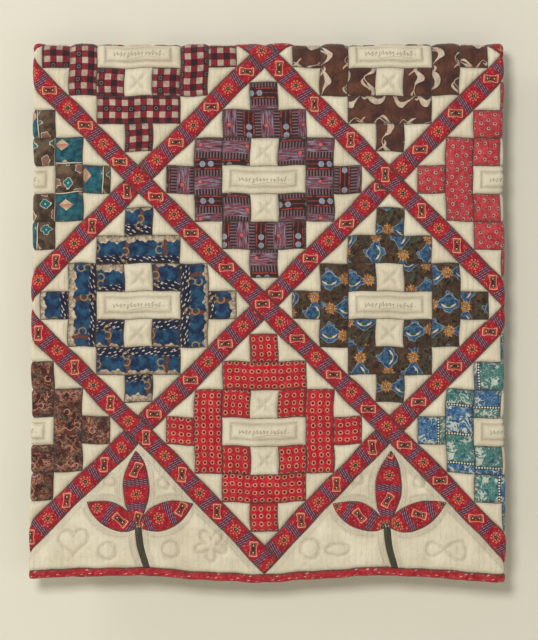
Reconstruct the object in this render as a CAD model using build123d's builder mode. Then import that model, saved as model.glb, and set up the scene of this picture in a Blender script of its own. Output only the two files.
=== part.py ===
from build123d import *
import math
import os

# A friendship album quilt hung over the slat of a low wall rack.
# Frame: origin in the middle of the wall board's back face, on the wall; +Z up, +X to the right
# as the viewer sees it, and -Y towards the viewer.  Millimetres.

# Quilt pattern: blocks of 1 3/4 inch patches set on point, with 1 1/4 inch sashing between them
PATCH = 44.45
SASH = 31.75
BINDING = 12.7
BLOCK_HALF = 4 * PATCH
SASH_ACROSS = SASH / math.sqrt(2)
PITCH = 2 * BLOCK_HALF + 2 * SASH_ACROSS
HALF_PITCH = PITCH / 2
MIDDLE_X = -6.0
ROWS = 8
QUILT_HALF_WIDTH = 3 * HALF_PITCH + SASH_ACROSS + BINDING

# Quilt layers, from the face inwards
TOP_T = 1.5
BATTING_T = 3.7
BACKING_T = 0.8
QUILT_T = TOP_T + BATTING_T + BACKING_T
APPLIQUE_T = 0.8
LAYER_GAP = 0.6
RAIL_CLEAR = 0.3

# Rack
RAIL_T = 16.0
RAIL_H = 50.0
RAIL_LENGTH = 742.0
BOARD_LENGTH = 716.0
BOARD_H = 100.0
BOARD_T = 15.0
BOARD_EDGE_ROUND = 3.0
WALL_HOLE_R = 2.75
WALL_HOLE_X = 560.0
WALL_HOLE_Z = 60.0
PLATE_T = 3.0
PLATE_OUTER_X = 359.0
FLANGE_W = 28.0
FLANGE_H = 90.0
LEG_D = 9.0
ARM_BOTTOM = -24.0
ARM_TOP = 1.0
UPRIGHT_HALF = 7.0
KERF_DEPTH = 28.0
KERF_PLAY = 0.3
SCREW_R = 2.0
SCREW_HEAD_R = 4.0
SCREW_HEAD_H = 2.2
SCREW_LENGTH = 13.0
SCREW_Z = 30.0

# Where the quilt hangs
RAIL_Y = -48.0
RAIL_Z = 105.0
INNER_R = RAIL_T / 2 + RAIL_CLEAR
OUTER_R = INNER_R + 2 * QUILT_T + LAYER_GAP
TURN_R = QUILT_T + LAYER_GAP / 2
TURN_RHO = INNER_R + TURN_R
FRONT_HALF = 375.5
BACK_HALF = 348.0
WIDE_TO = RAIL_Z - 30.0
NARROW_FROM = RAIL_Z - 92.0
FOLD_LENGTH = OUTER_R * math.pi / 2
TOP_Z = RAIL_Z + OUTER_R

# Lengths along the quilt, counted down the front from the crest of the fold
ROW_4_AT = 16.0 + FOLD_LENGTH - OUTER_R
FRONT_END = ROW_4_AT + 4 * HALF_PITCH + SASH_ACROSS
BACK_END = ROW_4_AT - 4 * HALF_PITCH - SASH_ACROSS
FRONT_SEAM_Z = RAIL_Z + FOLD_LENGTH - FRONT_END
BACK_SEAM_Z = RAIL_Z + FOLD_LENGTH + BACK_END
FRONT_HEM_Z = FRONT_SEAM_Z - BINDING
BACK_HEM_Z = BACK_SEAM_Z - BINDING

FRONT_FLAT = FRONT_HALF - TURN_R
BACK_FLAT = BACK_HALF - TURN_R
RAIL_AXIS = Axis((0, RAIL_Y, RAIL_Z), (1, 0, 0))
PRISM_REACH = 50.0

os.makedirs("parts", exist_ok=True)


def save(piece, name):
    """Label a finished piece and write it as the node of that name."""
    piece.label = name
    export_step(piece, f"parts/{name}.step")


def layer_radii(start, end):
    """The distances from the rail's axis of a layer that lies from start to end below the face."""
    return OUTER_R - end, OUTER_R - start


# ---------------------------------------------------------------- main width of each layer


def main_layer(start, end, front_z, back_z):
    """The part of a layer between the side folds: front drop, fold over the rail, and back drop."""
    low, high = layer_radii(start, end)
    with BuildPart() as layer:
        with BuildSketch(Plane.XY.offset(RAIL_Z)):
            with Locations((0, RAIL_Y + (low + high) / 2)):
                Rectangle(2 * FRONT_FLAT, high - low)
        revolve(axis=RAIL_AXIS, revolution_arc=180)
        with BuildSketch(Plane.XY.offset(front_z)):
            with Locations((0, RAIL_Y - (low + high) / 2)):
                Rectangle(2 * FRONT_FLAT, high - low)
        extrude(amount=RAIL_Z - front_z)
        with BuildSketch(Plane.XZ.offset(-RAIL_Y - high)):
            Polygon(*back_outline(back_z), align=None)
        extrude(amount=high - low)
    return layer.part


def back_outline(low_z):
    """The back drop is as wide as the front at the fold, and narrows to pass between the brackets."""
    right = [
        (BACK_FLAT, low_z),
        (BACK_FLAT, NARROW_FROM),
        (FRONT_FLAT, WIDE_TO),
        (FRONT_FLAT, RAIL_Z),
    ]
    return right + [(-x, z) for x, z in reversed(right)]


# ---------------------------------------------------------------- turned-in sides


def turned_edge(side, half_width):
    """Where the quilt's own side edge lies, behind a drop of the given half width."""
    flat = half_width - TURN_R
    turned = QUILT_HALF_WIDTH - side * MIDDLE_X - flat - math.pi * TURN_R
    return side * (flat - turned)


def turn_section(z, side, half_width, start, end, drop):
    """Section, at height z, of a layer round one side fold and along the width turned in behind it.

    drop is +1 on the back drop and -1 on the front drop."""
    big, small = TURN_R - start, TURN_R - end
    middle_y = RAIL_Y + drop * TURN_RHO
    fold_x = side * (half_width - TURN_R)
    inner_x = turned_edge(side, half_width) + side * BINDING
    with BuildSketch(Plane.XY.offset(z)) as section:
        with BuildLine():
            outer = ThreePointArc(
                (fold_x, middle_y + drop * big),
                (fold_x + side * big, middle_y),
                (fold_x, middle_y - drop * big),
            )
            inner = ThreePointArc(
                (fold_x, middle_y + drop * small),
                (fold_x + side * small, middle_y),
                (fold_x, middle_y - drop * small),
            )
            Line(outer @ 0, inner @ 0)
            Polyline(
                outer @ 1,
                (inner_x, middle_y - drop * big),
                (inner_x, middle_y - drop * small),
                inner @ 1,
            )
        make_face()
    return section.sketch


def turned_layer(side, start, end, front_z, back_z):
    """The part of a layer that goes round one side fold and lies behind it, over its whole length."""
    at_rail = turn_section(RAIL_Z, side, FRONT_HALF, start, end, 1)
    at_front = turn_section(front_z, side, FRONT_HALF, start, end, -1)
    at_wide = turn_section(WIDE_TO, side, FRONT_HALF, start, end, 1)
    at_narrow = turn_section(NARROW_FROM, side, BACK_HALF, start, end, 1)
    with BuildPart() as layer:
        revolve(at_rail, axis=RAIL_AXIS, revolution_arc=180)
        extrude(at_front, amount=RAIL_Z - front_z)
        extrude(at_wide, amount=RAIL_Z - WIDE_TO)
        loft([at_narrow, at_wide], ruled=True)
        extrude(at_narrow, amount=back_z - NARROW_FROM)
    return layer.part


BATTING_IN = TOP_T + BATTING_T
for name, start, end in (("batting", TOP_T, BATTING_IN), ("backing", BATTING_IN, QUILT_T)):
    save(main_layer(start, end, FRONT_SEAM_Z, BACK_SEAM_Z), f"{name}_middle")
    save(turned_layer(-1, start, end, FRONT_SEAM_Z, BACK_SEAM_Z), f"{name}_turned_left")
    save(turned_layer(1, start, end, FRONT_SEAM_Z, BACK_SEAM_Z), f"{name}_turned_right")

# The patchwork that is turned in at the sides: side and corner triangles, and the rest of the
# blocks and strips that the side folds cut
save(turned_layer(-1, 0, TOP_T, FRONT_SEAM_Z, BACK_SEAM_Z), "turned_patchwork_left")
save(turned_layer(1, 0, TOP_T, FRONT_SEAM_Z, BACK_SEAM_Z), "turned_patchwork_right")

# ---------------------------------------------------------------- pieced top


class Stretch:
    """One of the four stretches of the top, with the heights at which lengths along the quilt lie."""

    def __init__(self, shell, height_at_crest, rate):
        self.shell = shell
        self.height_at_crest = height_at_crest
        self.rate = rate

    def heights(self, outline):
        return [(x, self.height_at_crest + self.rate * along) for x, along in outline]


def front_of_top():
    with BuildPart() as shell:
        with BuildSketch(Plane.XY.offset(FRONT_SEAM_Z)):
            with Locations((0, RAIL_Y - OUTER_R + TOP_T / 2)):
                Rectangle(2 * FRONT_FLAT, TOP_T)
        extrude(amount=RAIL_Z - FRONT_SEAM_Z)
    return shell.part


def back_of_top():
    with BuildPart() as shell:
        with BuildSketch(Plane.XZ.offset(-RAIL_Y - OUTER_R)):
            Polygon(*back_outline(BACK_SEAM_Z), align=None)
        extrude(amount=TOP_T)
    return shell.part


def crest_of_top(front):
    """A quarter of the fold: the front quarter, or the back one."""
    side = -1 if front else 1
    with BuildPart() as shell:
        with BuildSketch(Plane.XY.offset(RAIL_Z)):
            with Locations((0, RAIL_Y + side * (OUTER_R - TOP_T / 2))):
                Rectangle(2 * FRONT_FLAT, TOP_T)
        revolve(axis=RAIL_AXIS, revolution_arc=-side * -90)
    return shell.part


ARC_RATE = OUTER_R / FOLD_LENGTH
STRETCHES = [
    Stretch(front_of_top(), RAIL_Z + FOLD_LENGTH, -1),
    Stretch(crest_of_top(True), TOP_Z, -ARC_RATE),
    Stretch(crest_of_top(False), TOP_Z, ARC_RATE),
    Stretch(back_of_top(), RAIL_Z + FOLD_LENGTH, 1),
]


def share_of(stretch, outline):
    """What lies under an outline on one stretch of the top, which may be nothing."""
    with BuildPart() as prism:
        with BuildSketch(Plane.XZ.offset(-RAIL_Y)):
            Polygon(*stretch.heights(outline), align=None)
        extrude(amount=PRISM_REACH, both=True)
    return stretch.shell & prism.part


def sewn_piece(*outlines):
    """A piece of the top, or a group of them, from outlines given as (across, along) points."""
    shares = [share_of(stretch, outline) for outline in outlines for stretch in STRETCHES]
    with BuildPart() as piece:
        for share in shares:
            if share:
                add(share)
    return piece.part


def place(column, row):
    """Across and along of a pattern point, in half pitches from the middle and up from row 0."""
    return MIDDLE_X + column * HALF_PITCH, FRONT_END - SASH_ACROSS - row * HALF_PITCH


def diamond(column, row):
    x, along = place(column, row)
    return [
        (x - BLOCK_HALF, along),
        (x, along - BLOCK_HALF),
        (x + BLOCK_HALF, along),
        (x, along + BLOCK_HALF),
    ]


BLOCKS = {
    "block_row1_left": (-2, 1),
    "block_row1_middle": (0, 1),
    "block_row1_right": (2, 1),
    "block_row2_left": (-1, 2),
    "block_row2_right": (1, 2),
    "block_row3_left": (-2, 3),
    "block_row3_middle": (0, 3),
    "block_row3_right": (2, 3),
    "block_row4_left": (-1, 4),
    "block_row4_right": (1, 4),
    "block_row5_left": (-2, 5),
    "block_row5_middle": (0, 5),
    "block_row5_right": (2, 5),
    "block_row6_left": (-1, 6),
    "block_row6_right": (1, 6),
    "block_row7_left": (-2, 7),
    "block_row7_middle": (0, 7),
    "block_row7_right": (2, 7),
}
for name, (column, row) in BLOCKS.items():
    save(sewn_piece(diamond(column, row)), name)


def border_triangle(column, row):
    """Half a block at a hem, out to the middle of the binding seam."""
    x, along = place(column, row)
    down = 1 if row == 0 else -1
    half = BLOCK_HALF + SASH_ACROSS
    return [
        (x, along - down * BLOCK_HALF),
        (x - half, along + down * SASH_ACROSS),
        (x + half, along + down * SASH_ACROSS),
    ]


save(sewn_piece(border_triangle(-1, 0)), "border_front_left")
save(sewn_piece(border_triangle(1, 0)), "border_front_right")
save(sewn_piece(border_triangle(-1, ROWS)), "border_back_left")
save(sewn_piece(border_triangle(1, ROWS)), "border_back_right")


def strip(start, end, extra):
    """Outline of a sashing strip from one crossing to another, longer by extra at each end."""
    (x0, a0), (x1, a1) = place(*start), place(*end)
    length = math.hypot(x1 - x0, a1 - a0)
    ux, ua = (x1 - x0) / length, (a1 - a0) / length
    half = SASH / 2
    return [
        (x0 - ux * extra - ua * half, a0 - ua * extra + ux * half),
        (x0 - ux * extra + ua * half, a0 - ua * extra - ux * half),
        (x1 + ux * extra + ua * half, a1 + ua * extra - ux * half),
        (x1 + ux * extra - ua * half, a1 + ua * extra + ux * half),
    ]


def crossings_along(diagonal, slope):
    """Crossings on one diagonal, top to bottom.  slope +1 falls to the right, -1 to the left."""
    found = []
    for row in range(ROWS, -1, -1):
        column = slope * (diagonal - row)
        if abs(column) <= 3:
            found.append((column, row))
    return found


# The first and last diagonals of the quilt lie wholly in the turned-in sides
SEEN_DIAGONALS = (0, 2, 4, 6, 8)

# Long strips fall to the right from crossing to crossing; their ends are square
for number, diagonal in enumerate(SEEN_DIAGONALS, start=1):
    line = crossings_along(diagonal, 1)
    save(sewn_piece(strip(line[0], line[-1], SASH / 2)), f"sash_long_{number}")

# Short segments fall to the left and are pieced between the long strips
for number, diagonal in enumerate(SEEN_DIAGONALS, start=1):
    line = crossings_along(diagonal, -1)
    segments = [strip(a, b, -SASH / 2) for a, b in zip(line, line[1:])]
    save(sewn_piece(*segments), f"sash_short_{number}")

# ---------------------------------------------------------------- appliqued tulips

LEAF_BASE_DOWN = 158.0
FLOWERS = {
    -1: {"lean": -1.0, "tips": ((-80.0, 116.0), (-5.0, 33.0), (88.0, 114.0)), "stem_foot": 14.0},
    1: {"lean": -6.0, "tips": ((-91.0, 116.0), (1.0, 34.0), (90.0, 115.0)), "stem_foot": 13.0},
}
LEAF_W = 40.0
LEAF_SPREAD = 6.0
STEM_W = 11.0
STEM_GAP = 4.0
STEM_LENGTH = 60.0
STEM_BOW = 1.5


def on_drop(column, front, right, down):
    """A point of a border triangle, from its top crossing: millimetres to the right and down."""
    x, along = place(column, 1 if front else ROWS - 1)
    crossing_z = RAIL_Z + FOLD_LENGTH - along if front else RAIL_Z + FOLD_LENGTH + along
    return x + right, crossing_z - down


def applique_plane(front):
    """The plane just behind the applique's face, so that it lies on the quilt's face."""
    return Plane.XZ.offset(-RAIL_Y + OUTER_R) if front else Plane.XZ.offset(-RAIL_Y - OUTER_R - APPLIQUE_T)


def leaf(column, front, base, tip):
    """A lens-shaped leaf between two points."""
    x0, z0 = on_drop(column, front, *base)
    x1, z1 = on_drop(column, front, *tip)
    length = math.hypot(x1 - x0, z1 - z0)
    nx, nz = -(z1 - z0) / length * LEAF_W / 2, (x1 - x0) / length * LEAF_W / 2
    mid_x, mid_z = (x0 + x1) / 2, (z0 + z1) / 2
    with BuildSketch(applique_plane(front)) as shape:
        with BuildLine():
            ThreePointArc((x0, z0), (mid_x + nx, mid_z + nz), (x1, z1))
            ThreePointArc((x0, z0), (mid_x - nx, mid_z - nz), (x1, z1))
        make_face()
    return shape.sketch


def stem(column, front, lean, foot):
    """A curved strip from under the leaves down towards the hem."""
    x0, z0 = on_drop(column, front, lean, LEAF_BASE_DOWN + STEM_GAP)
    x1, z1 = on_drop(column, front, lean + foot, LEAF_BASE_DOWN + STEM_GAP + STEM_LENGTH)
    mid_x, mid_z = x0 + STEM_BOW, (z0 + z1) / 2
    half = STEM_W / 2
    with BuildSketch(applique_plane(front)) as shape:
        with BuildLine():
            left = ThreePointArc((x0 - half, z0), (mid_x - half, mid_z), (x1 - half, z1))
            right = ThreePointArc((x0 + half, z0), (mid_x + half, mid_z), (x1 + half, z1))
            Line(left @ 0, right @ 0)
            Line(left @ 1, right @ 1)
        make_face()
    return shape.sketch


for front, face in ((True, "front"), (False, "back")):
    with BuildPart() as leaves:
        for column, flower in FLOWERS.items():
            for number, tip in enumerate(flower["tips"]):
                base = (flower["lean"] + (number - 1) * LEAF_SPREAD, LEAF_BASE_DOWN)
                extrude(leaf(column, front, base, tip), amount=APPLIQUE_T)
    save(leaves.part, f"tulip_leaves_{face}")
    with BuildPart() as stems:
        for column, flower in FLOWERS.items():
            extrude(stem(column, front, flower["lean"], flower["stem_foot"]), amount=APPLIQUE_T)
    save(stems.part, f"tulip_stems_{face}")

# ---------------------------------------------------------------- binding


def edge_section(z, side, half_width, drop):
    """Section, at height z, of the bound side edge that lies behind a drop."""
    middle = turned_edge(side, half_width) + side * BINDING / 2
    with BuildSketch(Plane.XY.offset(z)) as section:
        with Locations((middle, RAIL_Y + drop * (INNER_R + QUILT_T / 2))):
            Rectangle(BINDING, QUILT_T)
    return section.sketch


def edge_binding(side):
    """The binding of one side edge, from the front hem over the rail to the back hem."""
    at_rail = edge_section(RAIL_Z, side, FRONT_HALF, 1)
    at_wide = edge_section(WIDE_TO, side, FRONT_HALF, 1)
    at_narrow = edge_section(NARROW_FROM, side, BACK_HALF, 1)
    with BuildPart() as binding:
        revolve(at_rail, axis=RAIL_AXIS, revolution_arc=180)
        extrude(edge_section(FRONT_HEM_Z, side, FRONT_HALF, -1), amount=RAIL_Z - FRONT_HEM_Z)
        extrude(at_wide, amount=RAIL_Z - WIDE_TO)
        loft([at_narrow, at_wide], ruled=True)
        extrude(at_narrow, amount=BACK_HEM_Z - NARROW_FROM)
    return binding.part


save(edge_binding(-1), "binding_edge_left")
save(edge_binding(1), "binding_edge_right")


def hem_binding(low_z, half_width, drop):
    """The bound edge right along a hem: across the drop and round both turned-in widths."""
    left = turn_section(low_z, -1, half_width, 0, QUILT_T, drop)
    right = turn_section(low_z, 1, half_width, 0, QUILT_T, drop)
    with BuildPart() as binding:
        with BuildSketch(Plane.XY.offset(low_z)):
            with Locations((0, RAIL_Y + drop * (OUTER_R - QUILT_T / 2))):
                Rectangle(2 * (half_width - TURN_R), QUILT_T)
        extrude(amount=BINDING)
        extrude(left, amount=BINDING)
        extrude(right, amount=BINDING)
    return binding.part


save(hem_binding(FRONT_HEM_Z, FRONT_HALF, -1), "binding_front_hem")
save(hem_binding(BACK_HEM_Z, BACK_HALF, 1), "binding_back_hem")

# ---------------------------------------------------------------- rack

# Wall board: a planed hardwood board with four clearance holes for screws into the wall
with BuildPart() as wall_board:
    Box(BOARD_LENGTH, BOARD_T, BOARD_H, align=(Align.CENTER, Align.MAX, Align.CENTER))
    front_edges = wall_board.faces().sort_by(Axis.Y)[0].edges()
    fillet(front_edges, BOARD_EDGE_ROUND)
    with Locations(Plane.XZ.offset(BOARD_T)):
        with GridLocations(WALL_HOLE_X, WALL_HOLE_Z, 2, 2):
            Hole(WALL_HOLE_R, depth=BOARD_T + 1)
    with Locations(Plane.XZ.offset(BOARD_T)):
        for side in (-1, 1):
            with Locations((side * (PLATE_OUTER_X - FLANGE_W / 2), 0)):
                with GridLocations(0, 2 * SCREW_Z, 1, 2):
                    Hole(SCREW_R, depth=SCREW_LENGTH - PLATE_T + 0.5)
save(wall_board.part, "wall_board")

PLATE_TOP = RAIL_Z + RAIL_T / 2 - RAIL_H + KERF_DEPTH - 0.1


def bracket(side):
    """A bent steel bracket: a screwed flange on the board and a hooked plate that carries the rail."""
    outer = side * PLATE_OUTER_X
    with BuildPart() as plate:
        with BuildSketch(Plane.YZ.offset(outer if side < 0 else outer - PLATE_T)):
            with BuildLine():
                Polyline(
                    (-BOARD_T, -FLANGE_H / 2),
                    (-BOARD_T, FLANGE_H / 2),
                    (-BOARD_T - LEG_D, FLANGE_H / 2),
                    (-BOARD_T - LEG_D, ARM_TOP),
                    (RAIL_Y + UPRIGHT_HALF, ARM_TOP),
                    (RAIL_Y + UPRIGHT_HALF, PLATE_TOP),
                    (RAIL_Y - UPRIGHT_HALF, PLATE_TOP),
                    (RAIL_Y - UPRIGHT_HALF, ARM_BOTTOM),
                    (-BOARD_T - LEG_D, ARM_BOTTOM),
                    (-BOARD_T - LEG_D, -FLANGE_H / 2),
                    close=True,
                )
            make_face()
        extrude(amount=PLATE_T)
        upright_edges = plate.edges().filter_by(Axis.X)
        inside = upright_edges.filter_by(
            lambda e: abs(e.center().Z - ARM_TOP) < 0.1
            or (abs(e.center().Z - ARM_BOTTOM) < 0.1 and e.center().Y > RAIL_Y)
        )
        fillet(inside, 4.0)
        toe = plate.edges().filter_by(Axis.X).filter_by(
            lambda e: abs(e.center().Z - PLATE_TOP) < 0.1
            or (abs(e.center().Z - ARM_BOTTOM) < 0.1 and e.center().Y < RAIL_Y)
        )
        fillet(toe, 3.0)
        with BuildSketch(Plane.XZ.offset(BOARD_T)):
            with Locations((outer - side * FLANGE_W / 2, 0)):
                RectangleRounded(FLANGE_W, FLANGE_H, 2.5)
        extrude(amount=PLATE_T)
        with Locations(Plane.XZ.offset(BOARD_T + PLATE_T)):
            with Locations((outer - side * FLANGE_W / 2, 0)):
                with GridLocations(0, 2 * SCREW_Z, 1, 2):
                    CounterSinkHole(SCREW_R, SCREW_HEAD_R, depth=PLATE_T + 1)
    return plate.part


save(bracket(-1), "bracket_left")
save(bracket(1), "bracket_right")

# Bracket screws: countersunk wood screws through each flange into the board
with BuildPart() as bracket_screws:
    for side in (-1, 1):
        for z in (-SCREW_Z, SCREW_Z):
            x = side * (PLATE_OUTER_X - FLANGE_W / 2)
            with BuildSketch(Plane.XZ.offset(BOARD_T + PLATE_T)):
                with Locations((x, z)):
                    Circle(SCREW_HEAD_R - 0.1)
            with BuildSketch(Plane.XZ.offset(BOARD_T + PLATE_T - SCREW_HEAD_H)):
                with Locations((x, z)):
                    Circle(SCREW_R - 0.1)
            loft()
            with BuildSketch(Plane.XZ.offset(BOARD_T + PLATE_T - SCREW_HEAD_H)):
                with Locations((x, z)):
                    Circle(SCREW_R - 0.1)
            extrude(amount=-(SCREW_LENGTH - SCREW_HEAD_H))
save(bracket_screws.part, "bracket_screws")

# Rail: a planed slat with a full-round top, kerfed from below to drop over the brackets
with BuildPart() as rail:
    with BuildSketch(Plane.YZ.offset(-RAIL_LENGTH / 2)):
        with BuildLine():
            Polyline(
                (RAIL_Y - RAIL_T / 2, RAIL_Z),
                (RAIL_Y - RAIL_T / 2, RAIL_Z + RAIL_T / 2 - RAIL_H),
                (RAIL_Y + RAIL_T / 2, RAIL_Z + RAIL_T / 2 - RAIL_H),
                (RAIL_Y + RAIL_T / 2, RAIL_Z),
            )
            ThreePointArc(
                (RAIL_Y + RAIL_T / 2, RAIL_Z),
                (RAIL_Y, RAIL_Z + RAIL_T / 2),
                (RAIL_Y - RAIL_T / 2, RAIL_Z),
            )
        make_face()
    extrude(amount=RAIL_LENGTH)
    bottom = rail.faces().sort_by(Axis.Z)[0].edges().filter_by(Axis.X)
    chamfer(bottom, 1.5)
    for side in (-1, 1):
        with BuildSketch(Plane.XY.offset(RAIL_Z + RAIL_T / 2 - RAIL_H)):
            with Locations((side * (PLATE_OUTER_X - PLATE_T / 2), RAIL_Y)):
                Rectangle(PLATE_T + 2 * KERF_PLAY, RAIL_T + 2)
        extrude(amount=KERF_DEPTH, mode=Mode.SUBTRACT)
save(rail.part, "rail")

print("front hem", round(FRONT_HEM_Z, 1), "back hem", round(BACK_HEM_Z, 1), "crest", round(TOP_Z, 1))
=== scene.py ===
import math

import bpy
import mathutils
import numpy as np
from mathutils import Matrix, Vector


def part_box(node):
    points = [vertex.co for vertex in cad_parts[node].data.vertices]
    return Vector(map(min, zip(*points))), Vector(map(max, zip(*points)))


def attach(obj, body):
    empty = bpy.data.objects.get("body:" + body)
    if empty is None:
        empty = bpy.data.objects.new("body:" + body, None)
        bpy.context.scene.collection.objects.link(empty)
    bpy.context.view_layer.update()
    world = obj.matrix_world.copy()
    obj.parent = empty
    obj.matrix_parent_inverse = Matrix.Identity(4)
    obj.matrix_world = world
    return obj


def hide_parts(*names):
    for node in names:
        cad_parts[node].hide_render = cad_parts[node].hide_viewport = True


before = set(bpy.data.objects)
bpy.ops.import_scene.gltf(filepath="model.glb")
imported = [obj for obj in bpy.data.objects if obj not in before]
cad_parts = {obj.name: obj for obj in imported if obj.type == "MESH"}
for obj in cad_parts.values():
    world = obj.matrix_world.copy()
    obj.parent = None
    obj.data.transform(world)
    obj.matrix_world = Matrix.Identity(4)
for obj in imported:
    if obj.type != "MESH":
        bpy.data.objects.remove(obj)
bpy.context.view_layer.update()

# ------------------------------------------------------------ the quilt on its rail
# A whole quilt of pieced muslin and calico over cotton batting.  It is turned in at both sides and
# hangs folded once over the round top of the rail.  A place on it is given as on the flat quilt:
# metres across, metres along (0 at the crest, more down the front) and lift off its face.
PATCH = 0.04445
SASH = 0.03175
BINDING = 0.0127
QUILT_THICK = 0.006
LAYER_GAP = 0.0006
SASH_ACROSS = SASH / math.sqrt(2)
BLOCK_HALF = 4 * PATCH
HALF_PITCH = BLOCK_HALF + SASH_ACROSS
ROWS = 8

rail_low, rail_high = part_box("rail")
middle_low, middle_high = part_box("block_row1_middle")
RAIL_Y = (rail_low[1] + rail_high[1]) / 2
RAIL_Z = rail_high[2] - (rail_high[1] - rail_low[1]) / 2
OUTER_R = RAIL_Y - middle_low[1]
TURN_R = QUILT_THICK + LAYER_GAP / 2
TURN_RHO = OUTER_R - TURN_R
FOLD_LENGTH = OUTER_R * math.pi / 2
FRONT_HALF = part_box("turned_patchwork_right")[1][0]
BACK_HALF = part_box("binding_back_hem")[1][0]
FRONT_END = RAIL_Z + FOLD_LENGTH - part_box("binding_front_hem")[1][2]
BACK_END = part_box("binding_back_hem")[1][2] - RAIL_Z - FOLD_LENGTH
MIDDLE_X = (middle_low[0] + middle_high[0]) / 2
SEAM_HALF = 3 * HALF_PITCH + SASH_ACROSS
WIDE_TO = 0.030
NARROW_FROM = 0.092


def ease(share):
    """Goes from 0 to 1 gently as share does, and stays there beyond."""
    share = np.clip(share, 0, 1)
    return share * share * (3 - 2 * share)


def sway(place, *waves):
    """Sum of waves given as (size, length, turn)."""
    return sum(size * np.sin(2 * math.pi * (place / length + turn)) for size, length, turn in waves)


def rumple(across, along, size, seed):
    """Smooth unevenness from -1 to 1, with bumps about as wide as size."""
    lattice = np.random.default_rng(seed).uniform(-1, 1, (97, 97))
    u, v = across / size + 31.3, along / size + 17.7
    i, j = np.floor(u).astype(int), np.floor(v).astype(int)
    fu, fv = ease(u - i), ease(v - j)
    near = lattice[i % 97, j % 97] * (1 - fu) + lattice[(i + 1) % 97, j % 97] * fu
    far = lattice[i % 97, (j + 1) % 97] * (1 - fu) + lattice[(i + 1) % 97, (j + 1) % 97] * fu
    return near * (1 - fv) + far * fv


HEM_WAVE = 0.412
# Waves as size, length and turn: the seams' unevenness, the side folds' wavering and the crest's unevenness
SEWN_ACROSS = (0.0008, 0.131, 0.1), (0.0006, 0.057, 0.4)
SEWN_ALONG = (0.0008, 0.117, 0.3), (0.0005, 0.049, 0.8)
FOLD_WAVES = (0.0011, 0.37, 0.2), (0.0006, 0.12, 0.5)
CREST_WAVES = (0.0007, 0.31, 0.3), (0.0005, 0.097, 0.1)
FRONT_WAVE, BACK_WAVE, HEM_OUTWARD, LEFT_CORNER_RISE = 0.0052, 0.0025, 0.0022, 0.0045


def hang(across, along, lift):
    """Where places on the quilt lie as it hangs, as rows of x, y and z."""
    across, along, lift = np.broadcast_arrays(across, along, lift)
    hand_sewn = sway(along, *SEWN_ACROSS)
    along = along + sway(across, *SEWN_ALONG)
    across = across + hand_sewn
    down = np.clip(np.abs(along) - FOLD_LENGTH, 0, None)
    narrow = np.where(along < 0, ease((down - WIDE_TO) / (NARROW_FROM - WIDE_TO)), 0)
    flat = FRONT_HALF - narrow * (FRONT_HALF - BACK_HALF) - TURN_R
    side, reach = np.sign(across), np.abs(across)
    turn = np.clip((reach - flat) / TURN_R, 0, math.pi)
    beyond = np.clip(reach - flat - math.pi * TURN_R, 0, None)
    lift = np.where(lift > 0, lift * np.cos(turn / 2) ** 2, lift)
    x = flat + np.clip(reach - flat, None, 0) + (TURN_R + lift) * np.sin(turn) - beyond
    rho = TURN_RHO + (TURN_R + lift) * np.cos(turn)
    theta = np.clip(along / OUTER_R, -math.pi / 2, math.pi / 2)
    y = RAIL_Y - rho * np.sin(theta)
    z = RAIL_Z + rho * np.cos(theta) - down
    # The side folds lean and waver a little, and the hem waves
    share = down / (FRONT_END - FOLD_LENGTH)
    near_fold = np.clip(x / flat, 0, 1) ** 4
    lean = np.where(side < 0, -0.0030 + 0.0072 * share, -0.0012 + 0.0030 * share)
    lean = lean + sway(down + side * 0.4, *FOLD_WAVES)
    x = side * (x + near_fold * lean)
    ramp = np.clip((share - 0.35) / 0.65, 0, 1.1) ** 2
    wave = np.cos(2 * math.pi * (x + 0.224) / HEM_WAVE)
    z = z + np.where(along > 0, FRONT_WAVE, BACK_WAVE) * wave * ramp
    y = y - np.where(along > 0, HEM_OUTWARD * (1 + np.cos(2 * math.pi * (x + 0.09) / HEM_WAVE)), 0) * ramp
    z = z + np.where(side < 0, LEFT_CORNER_RISE, 0.0) * np.clip(-x / flat - 0.75, 0, 0.25) * 4 * ramp
    # The crest is uneven, but the turned-in layer under it lies on the rail and can't dip into it
    crest = sway(x, *CREST_WAVES) * np.clip(1 - share * 8, 0, 1)
    z = z + np.where(crest < 0, crest * np.cos(turn / 2) ** 2, crest)
    return np.stack([x, y, z], -1)


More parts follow.
